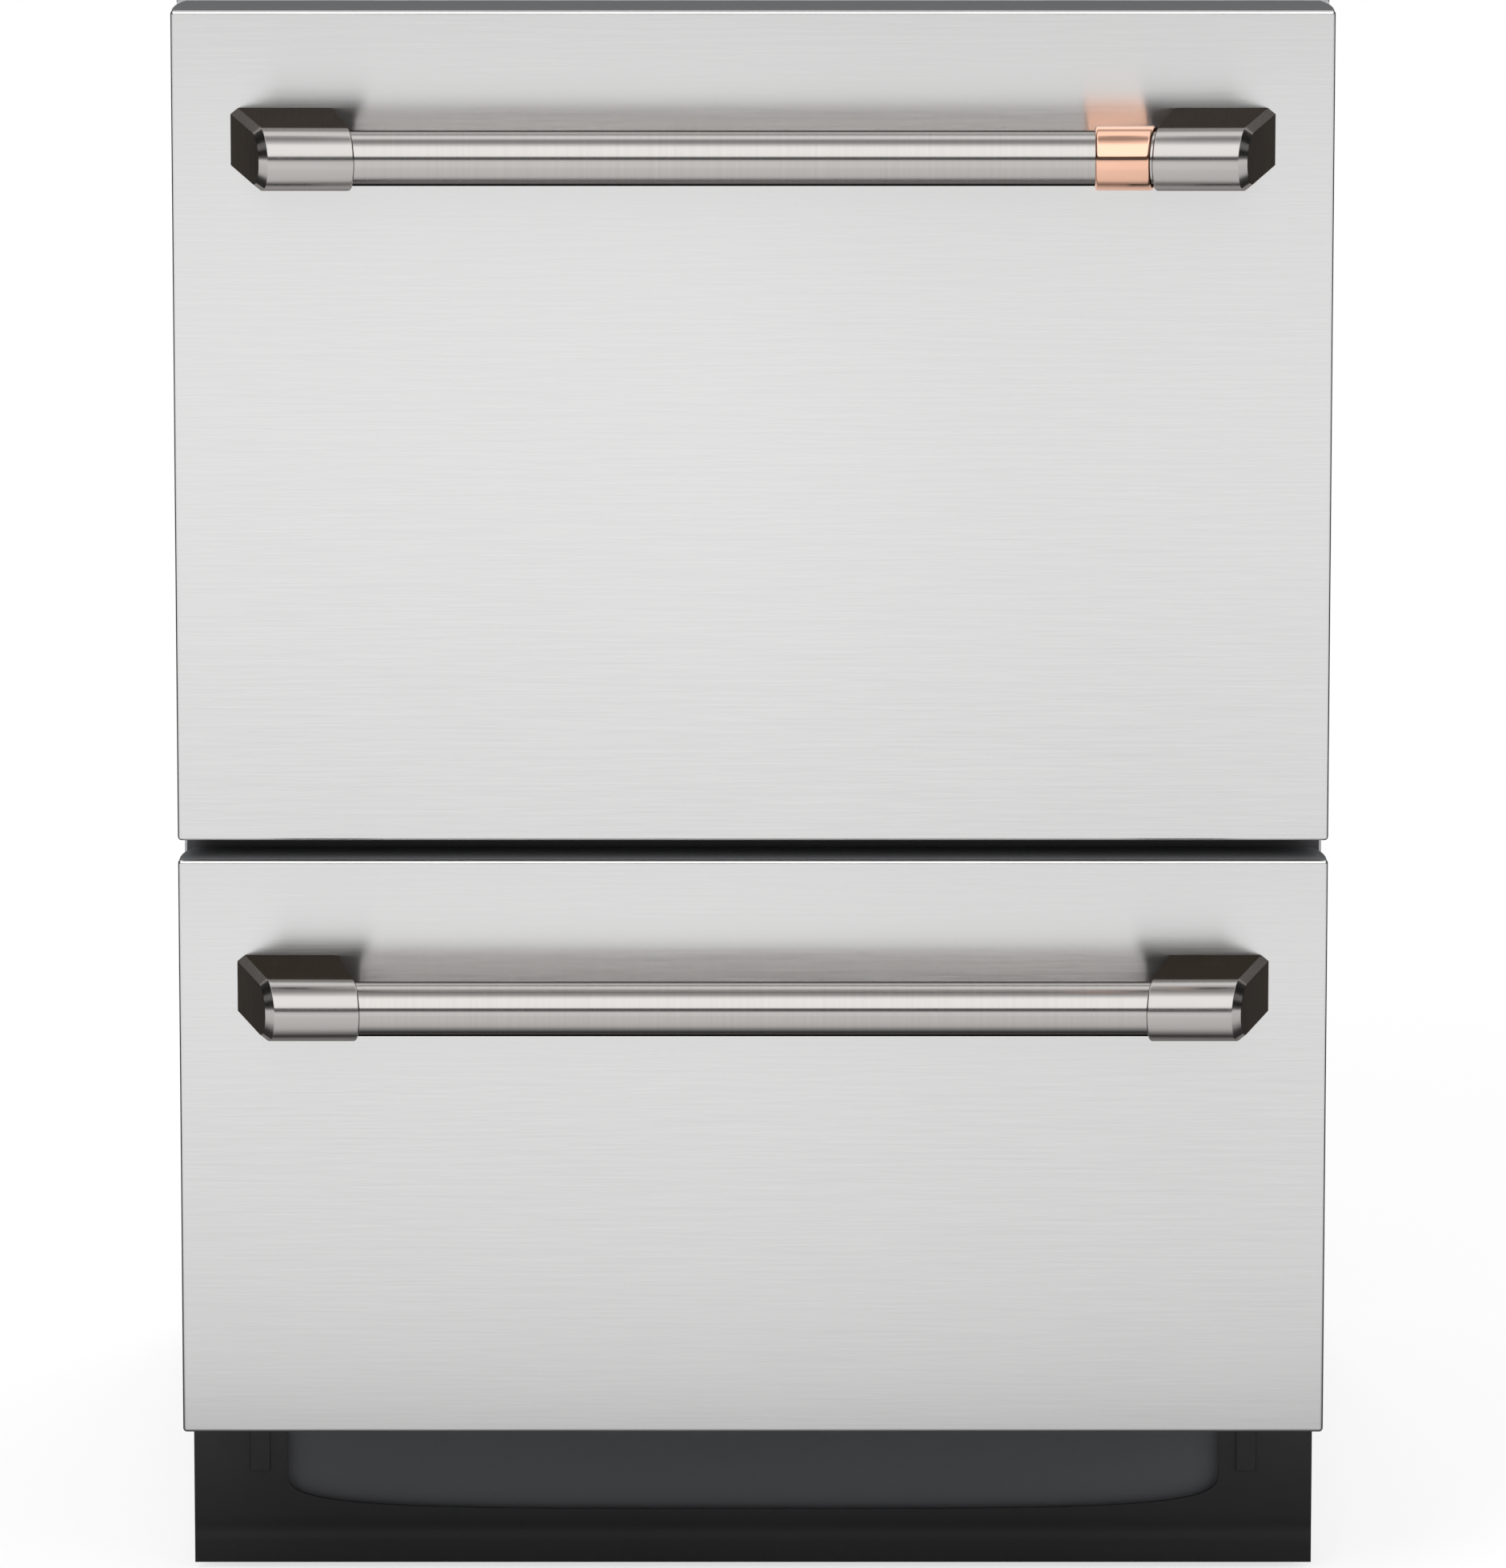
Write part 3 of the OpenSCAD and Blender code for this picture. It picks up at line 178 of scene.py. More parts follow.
def brushedSheet(name, colour, rough):
    grain = doorGrain
    finish = newFinish(name, colour, 1.0, rough, **{
        "Anisotropic": grain["stretch"], "Anisotropic Rotation": grain["turn"]})
    along, across = 1 / grain["length"], 1 / grain["pitch"]
    fine = finish.noise((along, across, across), detail=3.0, rough=0.6)
    along, across = grain["broadLength"] / grain["length"], grain["broadPitch"] / grain["pitch"]
    broad = finish.noise((along, across, across))
    cloud = finish.noise(grain["cloud"], detail=1.0)
    streak = fine * grain["fine"] + broad * grain["broad"]
    feed(finish, "Base Color", finish.shades(
        finish.ramp(streak, grain["contrast"]), colour, grain["dark"], grain["pale"]))
    feed(finish, "Roughness", (streak - 0.5) * grain["uneven"] + (cloud - 0.5) * grain["cloudUneven"] + rough)
    feed(finish, "Normal", finish.bump(streak, grain["depth"]))
    return finish


# round bars and their end pieces, polished round their length; a low tint darkens them towards an outline, and
# the bars carry a painted shade on their under sides
barSteel = (0.56, 0.536, 0.519)
# barGrain also holds the ramp and the share of the painted shade on the bars' under sides
barGrain = {"fine": (2400, 60, 60), "long": (500, 12, 12), "rough": 0.15, "uneven": 0.16, "depth": 0.004 * mm,
            "dark": 0.95, "pale": 1.05, "under": [(0.62, 0.0), (0.86, 1.0)], "underShare": 0.36,
            "tint": (0, 0, 0, 1)}


def roundBarSteel():
    grain = barGrain
    finish = newFinish("roundBarSteel", barSteel, 1.0, grain["rough"], **{"Specular Tint": grain["tint"]})
    fine = finish.noise(grain["fine"], detail=3.0, rough=0.6)
    steel = finish.shades(finish.noise(grain["long"]), barSteel, grain["dark"], grain["pale"])
    down = finish.normalParts()[2] * -1.0
    under = finish.ramp(down, grain["under"], "EASE")  # painted shade: the base colour darkens where the surface faces down
    feed(finish, "Base Color", finish.colours(under, steel, (*[c * grain["underShare"] for c in barSteel], 1)))
    feed(finish, "Roughness", (fine - 0.5) * grain["uneven"] + grain["rough"])
    feed(finish, "Normal", finish.bump(fine, grain["depth"]))
    return finish


# capGrain also holds the painted shade of the end pieces' flat faces: its ramps by which way a face turns, and
# its two near black colours
capGrain = {"fine": (2200, 40, 40), "soft": (40, 40, 40), "rough": 0.17, "darkRough": 0.16, "uneven": 0.14,
            "depth": 0.005 * mm, "share": 0.97, "tint": (0.386, 0.365, 0.352, 1),
            "front": [(0.04, 0.0), (0.42, 1.0)], "side": [(0.68, 1.0), (0.86, 0.0)],
            "paintedShadeDarkest": (0.055, 0.051, 0.047, 1), "dark": (0.076, 0.07, 0.065, 1)}


def capMetal():  # bright on its round front; painted shade darkens the base colour of its flat faces, by which way they turn
    grain = capGrain
    finish = newFinish("capMetal", barSteel, 1.0, grain["rough"], **{"Specular Tint": grain["tint"]})
    side, ahead, _ = finish.normalParts()
    front = finish.ramp(ahead * -1.0, grain["front"], "EASE")
    turned = finish.ramp(finish.maths("ABSOLUTE", side, 0.0), grain["side"], "EASE")
    # the round front keeps the steel's colour; every other face gets painted shade
    paintedLitFront = front * turned
    fine = finish.noise(grain["fine"], detail=3.0, rough=0.6)
    # painted shade: a near black base colour for the flat faces
    dark = finish.colours(finish.noise(grain["soft"]), grain["paintedShadeDarkest"], grain["dark"])
    feed(finish, "Base Color", finish.colours(paintedLitFront, dark, (*[c * grain["share"] for c in barSteel], 1)))
    dull = (1 - paintedLitFront) * grain["darkRough"]
    feed(finish, "Roughness", (fine - 0.5) * grain["uneven"] + dull + grain["rough"])
    feed(finish, "Normal", finish.bump(fine, grain["depth"]))
    return finish


copperTurn = {"colour": (0.98, 0.585, 0.43), "grain": (1500, 60, 60), "rough": 0.08, "uneven": 0.08,
              "depth": 0.003 * mm}


def polishedCopper():
    finish = newFinish("polishedCopper", copperTurn["colour"], 1.0, copperTurn["rough"])
    turned = finish.noise(copperTurn["grain"])
    feed(finish, "Roughness", (turned - 0.5) * copperTurn["uneven"] + copperTurn["rough"])
    feed(finish, "Normal", finish.bump(turned, copperTurn["depth"]))
    return finish


plasticGrain = {"cloud": (9, 9, 9), "dark": 0.94, "pale": 1.05, "uneven": 0.2, "cloudUneven": 0.08}


def mouldedPlastic(name, colour, rough, grainSize=0.5 * mm, depth=0.02 * mm):
    finish = newFinish(name, colour, 0.0, rough)
    grain = finish.noise((1 / grainSize, 1 / grainSize, 1 / grainSize), rough=0.6)
    cloud = finish.noise(plasticGrain["cloud"])
    feed(finish, "Base Color", finish.shades(cloud, colour, plasticGrain["dark"], plasticGrain["pale"]))
    uneven, cloudUneven = plasticGrain["uneven"], plasticGrain["cloudUneven"]
    feed(finish, "Roughness", (grain - 0.5) * uneven + (cloud - 0.5) * cloudUneven + rough)
    feed(finish, "Normal", finish.bump(grain, depth))
    return finish


paintGrain = {"peel": (500, 500, 500), "cloud": (6, 6, 6), "dark": 0.93, "pale": 1.06, "uneven": 0.12,
              "cloudUneven": 0.1, "depth": 0.015 * mm}


def paintedSteel(name, colour, rough):
    finish = newFinish(name, colour, 0.0, rough)
    peel = finish.noise(paintGrain["peel"])
    cloud = finish.noise(paintGrain["cloud"])
    feed(finish, "Base Color", finish.shades(cloud, colour, paintGrain["dark"], paintGrain["pale"]))
    uneven, cloudUneven = paintGrain["uneven"], paintGrain["cloudUneven"]
    feed(finish, "Roughness", (peel - 0.5) * uneven + (cloud - 0.5) * cloudUneven + rough)
    feed(finish, "Normal", finish.bump(peel, paintGrain["depth"]))
    return finish


zincGrain = {"spangle": 14 * mm, "fine": (220, 220, 220), "metal": 0.6, "dark": 0.93, "pale": 1.05,
             "cells": 0.08, "uneven": 0.12, "depth": 0.01 * mm}


def zincSheet(name, colour, rough):
    grain = zincGrain
    finish = newFinish(name, colour, grain["metal"], rough)
    cellSize = 1 / grain["spangle"]
    cells = finish.add("ShaderNodeTexVoronoi", {}, {
        "Vector": finish.place((cellSize, cellSize, cellSize)), "Scale": 1.0}, out=1)
    grey = finish.add("ShaderNodeRGBToBW", {}, {0: cells})
    fine = finish.noise(grain["fine"], detail=3.0, rough=0.6)
    feed(finish, "Base Color", finish.shades(grey, colour, grain["dark"], grain["pale"]))
    feed(finish, "Roughness", (grey - 0.5) * grain["cells"] + (fine - 0.5) * grain["uneven"] + rough)
    feed(finish, "Normal", finish.bump(fine, grain["depth"]))
    return finish


drawnGrain = {"scale": (1800, 8, 1800), "uneven": 0.2, "depth": 0.006 * mm}


def drawnSteel(name, colour, rough):  # zinc plated strip, drawn along the slides
    finish = newFinish(name, colour, 1.0, rough)
    drawn = finish.noise(drawnGrain["scale"], detail=3.0, rough=0.6)
    feed(finish, "Roughness", (drawn - 0.5) * drawnGrain["uneven"] + rough)
    feed(finish, "Normal", finish.bump(drawn, drawnGrain["depth"]))
    return finish


wireCoat = {"colour": tint(132, 137, 144), "dark": (*tint(122, 127, 134), 1),
            "pale": (*tint(140, 145, 152), 1), "rough": 0.36, "uneven": 0.2, "gloss": 0.15,
            "dip": (260, 260, 90), "depth": 0.05 * mm}


def coatedWire():
    finish = newFinish("coatedWire", wireCoat["colour"], 0.0, wireCoat["rough"], **{
        "Coat Weight": wireCoat["gloss"]})
    dip = finish.noise(wireCoat["dip"])
    feed(finish, "Base Color", finish.colours(dip, wireCoat["dark"], wireCoat["pale"]))
    feed(finish, "Roughness", (dip - 0.5) * wireCoat["uneven"] + wireCoat["rough"])
    feed(finish, "Normal", finish.bump(dip, wireCoat["depth"]))
    return finish


finishes = {
    "stainless": brushedSheet("brushedDoorSheet", (0.825, 0.825, 0.823), 0.198),
    "stainless_bar": roundBarSteel(),
    "cap_metal": capMetal(),
    "copper": polishedCopper(),
    "trim_plastic": mouldedPlastic("doorTrim", tint(86, 87, 89), 0.5),
    "black_paint": paintedSteel("kickPlatePaint", tint(27, 27, 28), 0.36),
    "grey_panel": paintedSteel("plinthPaint", tint(70, 71, 74), 0.6),
    "galvanised": zincSheet("galvanisedSheet", (0.66, 0.67, 0.68), 0.46),
    "dark_steel": paintedSteel("crossRailPaint", tint(62, 62, 64), 0.5),
    "runner_steel": drawnSteel("runnerZinc", (0.66, 0.67, 0.69), 0.28),
    "dark_plastic": mouldedPlastic("motorPlastic", tint(48, 49, 51), 0.5),
    "white_plastic": mouldedPlastic("valvePlastic", tint(226, 226, 222), 0.45),
    "black_plastic": mouldedPlastic("footPlastic", tint(34, 34, 36), 0.5),
    "screw_steel": drawnSteel("screwZinc", (0.62, 0.62, 0.64), 0.3),
    "tub_plastic": mouldedPlastic("tubPlastic", tint(150, 152, 154), 0.42, 0.8 * mm, 0.03 * mm),
    "strip_plastic": mouldedPlastic("controlGloss", tint(24, 24, 26), 0.12, 1.5 * mm, 0.004 * mm),
    "button_plastic": mouldedPlastic("keyLacquer", tint(168, 169, 171), 0.3, 0.4 * mm, 0.006 * mm),
    "lid_plastic": mouldedPlastic("lidPlastic", tint(132, 134, 137), 0.5),
    "seal_rubber": mouldedPlastic("lidSealRubber", tint(30, 30, 31), 0.65, 0.4 * mm, 0.03 * mm),
    "arm_plastic": mouldedPlastic("sprayArmPlastic", tint(96, 99, 104), 0.4),
    "dispenser_plastic": mouldedPlastic("dispenserPlastic", tint(176, 180, 185), 0.32),
    "flap_plastic": mouldedPlastic("coverPlastic", tint(84, 93, 106), 0.3),
    "filter_steel": drawnSteel("filterSteel", (0.68, 0.68, 0.68), 0.3),
    "rack_wire": coatedWire(),
    "basket_plastic": mouldedPlastic("basketPlastic", tint(120, 125, 131), 0.42),
}
for row in frame["record"]["subparts"]:
    node = frame["nodes"][row["node"]]
    node.data.materials.clear()
    node.data.materials.append(finishes[row["material_slot"]].material)
print("finishes made:", len(finishes))


def piece(name, mesh, slotName, body, *nodes, smoothBelow=32):
    thing = bpy.data.objects.new(name, mesh)
    bpy.context.scene.collection.objects.link(thing)
    mesh.materials.clear()
    mesh.materials.append(finishes[slotName].material)
    mesh.polygons.foreach_set("use_smooth", [True] * len(mesh.polygons))
    mesh.set_sharp_from_angle(angle=math.radians(smoothBelow))
    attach(thing, body)
    if nodes:
        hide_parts(*nodes)
    return thing


def meshOf(name, build):
    shape = bmesh.new()
    build(shape)
    bmesh.ops.recalc_face_normals(shape, faces=shape.faces)
    return meshFrom(name, shape)


def meshFrom(name, shape):
    mesh = bpy.data.meshes.new(name)
    shape.to_mesh(mesh)
    shape.free()
    return mesh


def bevelled(thing, width, segments=2, angle=30):
    rim = thing.modifiers.new("softEdges", "BEVEL")
    rim.width = width
    rim.segments = segments
    rim.limit_method = "ANGLE"
    rim.angle_limit = math.radians(angle)
    return thing


def circle(steps):  # the angles of a closed ring
    return [2 * math.pi * i / steps for i in range(steps)]


def addRings(shape, rings, ends=True):
    made = [[shape.verts.new(point) for point in ring] for ring in rings]
    for near, far in zip(made, made[1:]):
        for i in range(len(near)):
            j = (i + 1) % len(near)
            shape.faces.new((near[i], near[j], far[j], far[i]))
    if ends:
        shape.faces.new(made[0])
        shape.faces.new(made[-1])


def addBlock(shape, low, high):
    made = bmesh.ops.create_cube(shape, size=1)["verts"]
    for vert in made:
        vert.co = Vector([low[i] if vert.co[i] < 0 else high[i] for i in range(3)])


def addOutline(shape, points, low, high):  # an outline seen from above, between two heights
    addRings(shape, [[(x, y, z) for x, y in points] for z in (low, high)])


# door skins: a sheet folded back at its edges, short along the top
doorSkin = {"fold": 2 * mm, "sheet": 1 * mm, "topFold": 2.3 * mm, "foldSteps": 5, "frontDepth": 1 * mm}


def doorSheet(level):
    low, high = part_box(level + "_front_skin")

    def build(shape):
        addBlock(shape, low, high)
        front = [e for e in shape.edges if any(v.co.y < low.y + doorSkin["frontDepth"] for v in e.verts)]
        bmesh.ops.bevel(shape, geom=front, offset=doorSkin["fold"], segments=doorSkin["foldSteps"],
                        profile=0.5, affect="EDGES")
        cut = low.y + doorSkin["topFold"]
        bmesh.ops.bisect_plane(shape, geom=shape.verts[:] + shape.edges[:] + shape.faces[:],
                               plane_co=(0, cut, 0), plane_no=(0, 1, 0))
        gone = [f for f in shape.faces if f.normal.y > 0.9]  # the open back
        gone += [f for f in shape.faces if f.calc_center_median().y > cut
                 and f.calc_center_median().z > high.z - doorSkin["fold"]]
        bmesh.ops.delete(shape, geom=list(set(gone)), context="FACES")

    mesh = meshOf(level + "DoorSheet", build)
    thing = piece(level + "DoorSheet", mesh, "stainless", level + "_drawer", level + "_front_skin")
    wall = thing.modifiers.new("sheetThickness", "SOLIDIFY")
    wall.thickness = doorSkin["sheet"]
    wall.offset = -1
    return thing


# door liners: their tops are the dark trims above the skins; "side" is inward and back, in millimetres
doorLiner = {"side": [(0.3, 9), (1.2, 15), (2.8, 20.5), (4.6, 24.8), (6.4, 28)], "cap": 2 * mm,
             "inset": 0.5 * mm, "soft": 0.7 * mm, "capStart": 3.7 * mm, "behindSkin": 0.3 * mm,
             "seam": 0.01 * mm, "pad": 1.3 * mm, "padBack": 1 * mm, "padTop": 2.4 * mm}


def doorTrim(level):
    low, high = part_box(level + "_front_liner")
    half = high.x
    start = corner(level + "_front_skin", False).y + doorLiner["behindSkin"]

    def outline(first, half):
        edge = [(half, first)] + [(half - inward * mm, doorFace + y * mm) for inward, y in doorLiner["side"]]
        return edge + [(-x, y) for x, y in reversed(edge)]

    def build(shape):
        addOutline(shape, outline(start, half), low.z, high.z - doorLiner["cap"] - doorLiner["seam"])
        capTop = outline(doorFace + doorLiner["capStart"], half - doorLiner["inset"])
        addOutline(shape, capTop, high.z - doorLiner["cap"], high.z)
        pad = doorLiner["pad"]  # fills the skin's folds
        addBlock(shape, (pad - half, doorFace + pad, low.z + pad),
                 (half - pad, start + doorLiner["padBack"], high.z - doorLiner["padTop"]))

    thing = piece(level + "DoorTrim", meshOf(level + "DoorTrim", build), "trim_plastic",
                  level + "_drawer", level + "_front_liner")
    return bevelled(thing, doorLiner["soft"])


# handles: a round bar between two end pieces that lean in towards the front
handle = {"reach": 46.7 * mm, "barR": 14.2 * mm, "capR": 16.7 * mm, "half": 269 * mm, "footWidth": 52.7 * mm,
          "leanOut": 0.27, "leanIn": 0.2, "bevelX": 4 * mm, "bevelR": 3.3 * mm, "innerEdge": 1.3 * mm,
          "innerSteps": 4, "soft": 0.5 * mm, "softSteps": 3, "softAngle": 20, "roundSteps": 48, "barSteps": 128}


def capOutline(inset):
    r = handle["capR"] - inset
    turn = [math.pi / 2 - math.pi * i / handle["roundSteps"] for i in range(handle["roundSteps"] + 1)]
    return [(0, r)] + [(handle["reach"] + r * math.cos(a), r * math.sin(a)) for a in turn] + [(0, -r)]


def capRing(side, x, lean, inset, axisZ):
    return [(side * (x - lean * p), doorFace - p, axisZ + z) for p, z in capOutline(inset)]


def barAxis(level):
    low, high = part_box(level + "_handle_bar")
    return (low.y + high.y) / 2, (low.z + high.z) / 2


def endPieces(level):
    axisZ = barAxis(level)[1]
    inner = handle["half"] - handle["footWidth"]
    edge = handle["innerEdge"]
    steps = [math.pi / 2 * i / handle["innerSteps"] for i in range(handle["innerSteps"] + 1)]

    def build(shape):
        for side in (-1, 1):
            rings = [capRing(side, inner + edge * (1 - math.cos(a)), handle["leanIn"],
                             edge * (1 - math.sin(a)), axisZ) for a in steps]
            rings.append(capRing(side, handle["half"] - handle["bevelX"], handle["leanOut"], 0, axisZ))
            rings.append(capRing(side, handle["half"], handle["leanOut"], handle["bevelR"], axisZ))
            addRings(shape, rings)

    name = level + "EndPieces"
    thing = piece(name, meshOf(name, build), "cap_metal", level + "_drawer", level + "_handle_caps",
                  smoothBelow=handle["softAngle"])
    return bevelled(thing, handle["soft"], handle["softSteps"], handle["softAngle"])


def roundBar(level):
    low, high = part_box(level + "_handle_bar")
    y, z = barAxis(level)
    r = handle["barR"]

    def build(shape):
        addRings(shape, [[(x, y + r * math.cos(a), z + r * math.sin(a)) for a in circle(handle["barSteps"])]
                         for x in (low.x, high.x)])

    name = level + "RoundBar"
    return piece(name, meshOf(name, build), "stainless_bar", level + "_drawer", level + "_handle_bar")


# the bright band beside the upper handle's right end piece, round at its ends
band = {"length": 32 * mm, "radius": 16.7 * mm, "endR": 1.6 * mm, "gap": 1.2 * mm, "endSteps": 5}


def brightBand():
    y, z = barAxis("upper")
    foot = handle["half"] - handle["footWidth"] - handle["leanIn"] * handle["reach"]
    left, right = foot - band["length"], foot - band["gap"]
    bends = [math.pi / 2 * i / band["endSteps"] for i in range(band["endSteps"] + 1)]
    rise = [(band["endR"] * (1 - math.sin(a)), band["radius"] - band["endR"] * (1 - math.cos(a)))
            for a in bends]
    profile = [(left, handle["barR"])] + [(left + x, r) for x, r in reversed(rise)]
    profile += [(right - x, r) for x, r in rise] + [(right, handle["barR"])]

    def build(shape):
        rings = []
        for x, r in profile:
            lean = handle["leanIn"] if x > (left + right) / 2 else 0
            rings.append([(x + lean * r * math.cos(a), y + r * math.cos(a), z + r * math.sin(a))
                          for a in circle(handle["barSteps"])])
        addRings(shape, rings, ends=False)

    return piece("copperBand", meshOf("copperBand", build), "copper", "upper_drawer", "upper_handle_band")


# kick plate: its upper edge dips to a wide hollow, a crease stiffens it, and spacers keep it off the plinth
kick = {"hollowHalf": 247.5 * mm, "hollowLow": 33 * mm, "hollowRise": 24 * mm, "power": 4.3, "hollowSteps": 96,
        "drop": 0.02 * mm, "crease": 22 * mm, "creaseHalf": 7 * mm, "creaseDepth": 0.35 * mm, "creaseSteps": 8,
        "sheet": 2 * mm, "soft": 0.4 * mm, "spacersX": (-275, -120, 120, 275), "spacerZ": 25 * mm,
        "spacerR": 4 * mm, "spacerGap": 0.1 * mm, "spacerShort": 1.2 * mm, "spacerSteps": 24}


def kickPlate():
    low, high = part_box("kick_plate")
    front, back = low.y, low.y + kick["sheet"]
    half, power = kick["hollowHalf"], kick["power"]

    def topAt(x):
        share = min(1, abs(x) / half)
        return kick["hollowLow"] + kick["hollowRise"] * (1 - (1 - share ** power) ** (1 / power))

    turns = [math.pi * i / kick["hollowSteps"] for i in range(kick["hollowSteps"] + 1)]
    inside = [-half * math.copysign(abs(math.cos(a)) ** (2 / power), math.cos(a)) for a in turns]
    columns = [(low.x, high.z), (-half - kick["drop"], high.z)]
    columns += [(x, topAt(x)) for x in inside]
    columns += [(half + kick["drop"], high.z), (high.x, high.z)]
    rows = [(low.z, 0)]
    for i in range(kick["creaseSteps"] + 1):
        t = 2 * i / kick["creaseSteps"] - 1
        depth = kick["creaseDepth"] * (0.5 + 0.5 * math.cos(math.pi * t))
        rows.append((kick["crease"] + kick["creaseHalf"] * t, depth))

    def build(shape):
        rings = []
        for x, top in columns:
            ring = [(x, front + depth, z) for z, depth in rows] + [(x, front, top), (x, back, top)]
            ring += [(x, back + depth, z) for z, depth in reversed(rows)]
            rings.append(ring)
        addRings(shape, rings)
        ends = (back + kick["spacerGap"], corner("plinth_panel", False).y - kick["spacerShort"])
        r, z = kick["spacerR"], kick["spacerZ"]
        for x in kick["spacersX"]:
            addRings(shape, [[(x * mm + r * math.cos(a), y, z + r * math.sin(a))
                              for a in circle(kick["spacerSteps"])] for y in ends])

    thing = piece("kickPlate", meshOf("kickPlate", build), "black_paint", "cabinet", "kick_plate")
    return bevelled(thing, kick["soft"])


# plinth behind the kick plate, and the two straps that hook over the plate
plinth = {"sheet": 1.2 * mm, "below": 1.3 * mm, "soft": 0.4 * mm, "strapX": 262 * mm, "strapWidth": 10.6 * mm,
          "strapLow": 54.4 * mm, "strap": 1 * mm, "strapHook": 2.3 * mm, "strapSoft": 0.25 * mm}


def plinthPanel():
    low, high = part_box("plinth_panel")

    def build(shape):
        addBlock(shape, (low.x, high.y - plinth["sheet"], low.z), (high.x, high.y, high.z - plinth["below"]))

    panel = piece("plinthPanel", meshOf("plinthPanel", build), "grey_panel", "cabinet", "plinth_panel")
    bevelled(panel, plinth["soft"])

    def buildStraps(shape):
        half, t = plinth["strapWidth"] / 2, plinth["strap"]
        foot, hook = plinth["strapLow"], high.z - plinth["strapHook"]
        outline = [(low.y, foot), (low.y, high.z), (high.y, high.z), (high.y, hook), (high.y - t, hook),
                   (high.y - t, high.z - t), (low.y + t, high.z - t), (low.y + t, foot)]
        for x in (-plinth["strapX"], plinth["strapX"]):
            addRings(shape, [[(x + end * half, y, z) for y, z in outline] for end in (-1, 1)])

    straps = piece("kickStraps", meshOf("kickStraps", buildStraps), "black_paint", "cabinet")
    bevelled(straps, plinth["strapSoft"])


class Maker:  # a geometry node tree with short ways to add nodes
    def __init__(self, name, inputs):
        self.tree = bpy.data.node_groups.new(name, "GeometryNodeTree")
        sockets = self.tree.interface
        sockets.new_socket("Geometry", in_out="INPUT", socket_type="NodeSocketGeometry")
        self.keys = {}
        for label, kind in inputs:
            self.keys[label] = sockets.new_socket(label, in_out="INPUT", socket_type=kind).identifier
        sockets.new_socket("Geometry", in_out="OUTPUT", socket_type="NodeSocketGeometry")
        self.start = self.tree.nodes.new("NodeGroupInput")

    def given(self, label):
        return self.start.outputs[label]

    def add(self, kind, settings, sockets):
        node = self.tree.nodes.new(kind)
        for key, value in settings.items():
            setattr(node, key, value)
        for key, value in sockets.items():
            if isinstance(value, bpy.types.NodeSocket):
                self.tree.links.new(value, node.inputs[key])
            elif isinstance(value, list):
                for wire in value:
                    self.tree.links.new(wire, node.inputs[key])
            else:
                node.inputs[key].default_value = value
        return node.outputs[0]

    def end(self, geometry, material):
        solid = self.add("GeometryNodeRealizeInstances", {}, {0: geometry})
        done = self.add("GeometryNodeSetMaterial", {}, {0: solid, "Material": material})
        self.tree.links.new(done, self.tree.nodes.new("NodeGroupOutput").inputs[0])
        return self


def grow(maker, mesh, **values):  # the mesh that a tree makes from another mesh
    thing = bpy.data.objects.new("grown", mesh)
    bpy.context.scene.collection.objects.link(thing)
    modifier = thing.modifiers.new("grow", "NODES")
    modifier.node_group = maker.tree
    for label, value in values.items():
        modifier[maker.keys[label]] = value
    bpy.context.view_layer.update()
    made = bpy.data.meshes.new_from_object(thing.evaluated_get(bpy.context.evaluated_depsgraph_get()))
    thing.modifiers.remove(modifier)
    bpy.data.objects.remove(thing)
    return made


def wireMaker():  # round wire along every edge of a mesh
    maker = Maker("roundWire", [("Radius", "NodeSocketFloat"), ("Sides", "NodeSocketInt")])
    path = maker.add("GeometryNodeMeshToCurve", {}, {0: maker.given("Geometry")})
    section = maker.add("GeometryNodeCurvePrimitiveCircle", {}, {
        "Resolution": maker.given("Sides"), "Radius": maker.given("Radius")})
    wire = maker.add("GeometryNodeCurveToMesh", {}, {0: path, 1: section, "Fill Caps": True})
    return maker.end(wire, finishes["rack_wire"].material)


def at(x, y, z):  # millimetres from the door face and the floor, as the solids are drawn
    return (x * mm, doorFace + y * mm, z * mm)


def wireFrame(name, runs, body, node):  # runs of wire, each as its radius and its points in millimetres
    shape = bmesh.new()
    for gauge in sorted({radius for radius, _ in runs}):
        line = bmesh.new()
        for radius, points in runs:
            if radius == gauge:
                made = [line.verts.new(at(*point)) for point in points]
                for a, b in zip(made, made[1:]):
                    line.edges.new((a, b))
        shape.from_mesh(grow(roundWire, meshFrom("path", line), Radius=gauge * mm, Sides=rack["sides"]))
    return piece(name, meshFrom(name, shape), "rack_wire", body, node, smoothBelow=rack["smoothBelow"])


# dish racks, in millimetres: round wires in the places of the solids' eight-sided ones
rack = {"half": 257.4, "front": 92.6, "back": 521.4, "endHalf": 254.9, "step": 46, "columns": 5, "cells": 6,
        "frame": 2, "rim": 2.25, "middle": 1.75, "post": 1.3, "leg": 1.65, "floor": 1.5, "cross": 1.7,
        "tine": 1.5, "over": {"frame": 1.1, "middle": 1, "rim": 0.9, "floor": 1.4}, "middleShare": 0.55,
        "tineShare": 0.6, "legLow": -18.6, "floorLow": -3.6, "crossLow": -0.9, "tineLow": -0.3,
        "crossRows": (0.1, 0.9), "tineStart": 4.5, "tineSpare": 0.8, "eye": 3.35, "eyeWire": 1.1,
        "eyeSteps": 16, "sides": 12, "smoothBelow": 50,
        "upper": {"z": 514, "height": 120, "rows": (0.2, 0.4, 0.6, 0.8), "last": 2.5},
        "lower": {"z": 163, "height": 100, "rows": (0.18, 0.33, 0.67, 0.82), "last": 4.5}}


def rackAt(share):
    return rack["front"] + share * (rack["back"] - rack["front"])


def eyeRun(centre, radius, across):  # a ring of wire round a hinge wire that runs along x or y
    turns = [2 * math.pi * i / rack["eyeSteps"] for i in range(rack["eyeSteps"] + 1)]
    if across == "x":
        return [(centre[0], centre[1] + radius * math.cos(a), centre[2] + radius * math.sin(a)) for a in turns]
    return [(centre[0] + radius * math.cos(a), centre[1], centre[2] + radius * math.sin(a)) for a in turns]


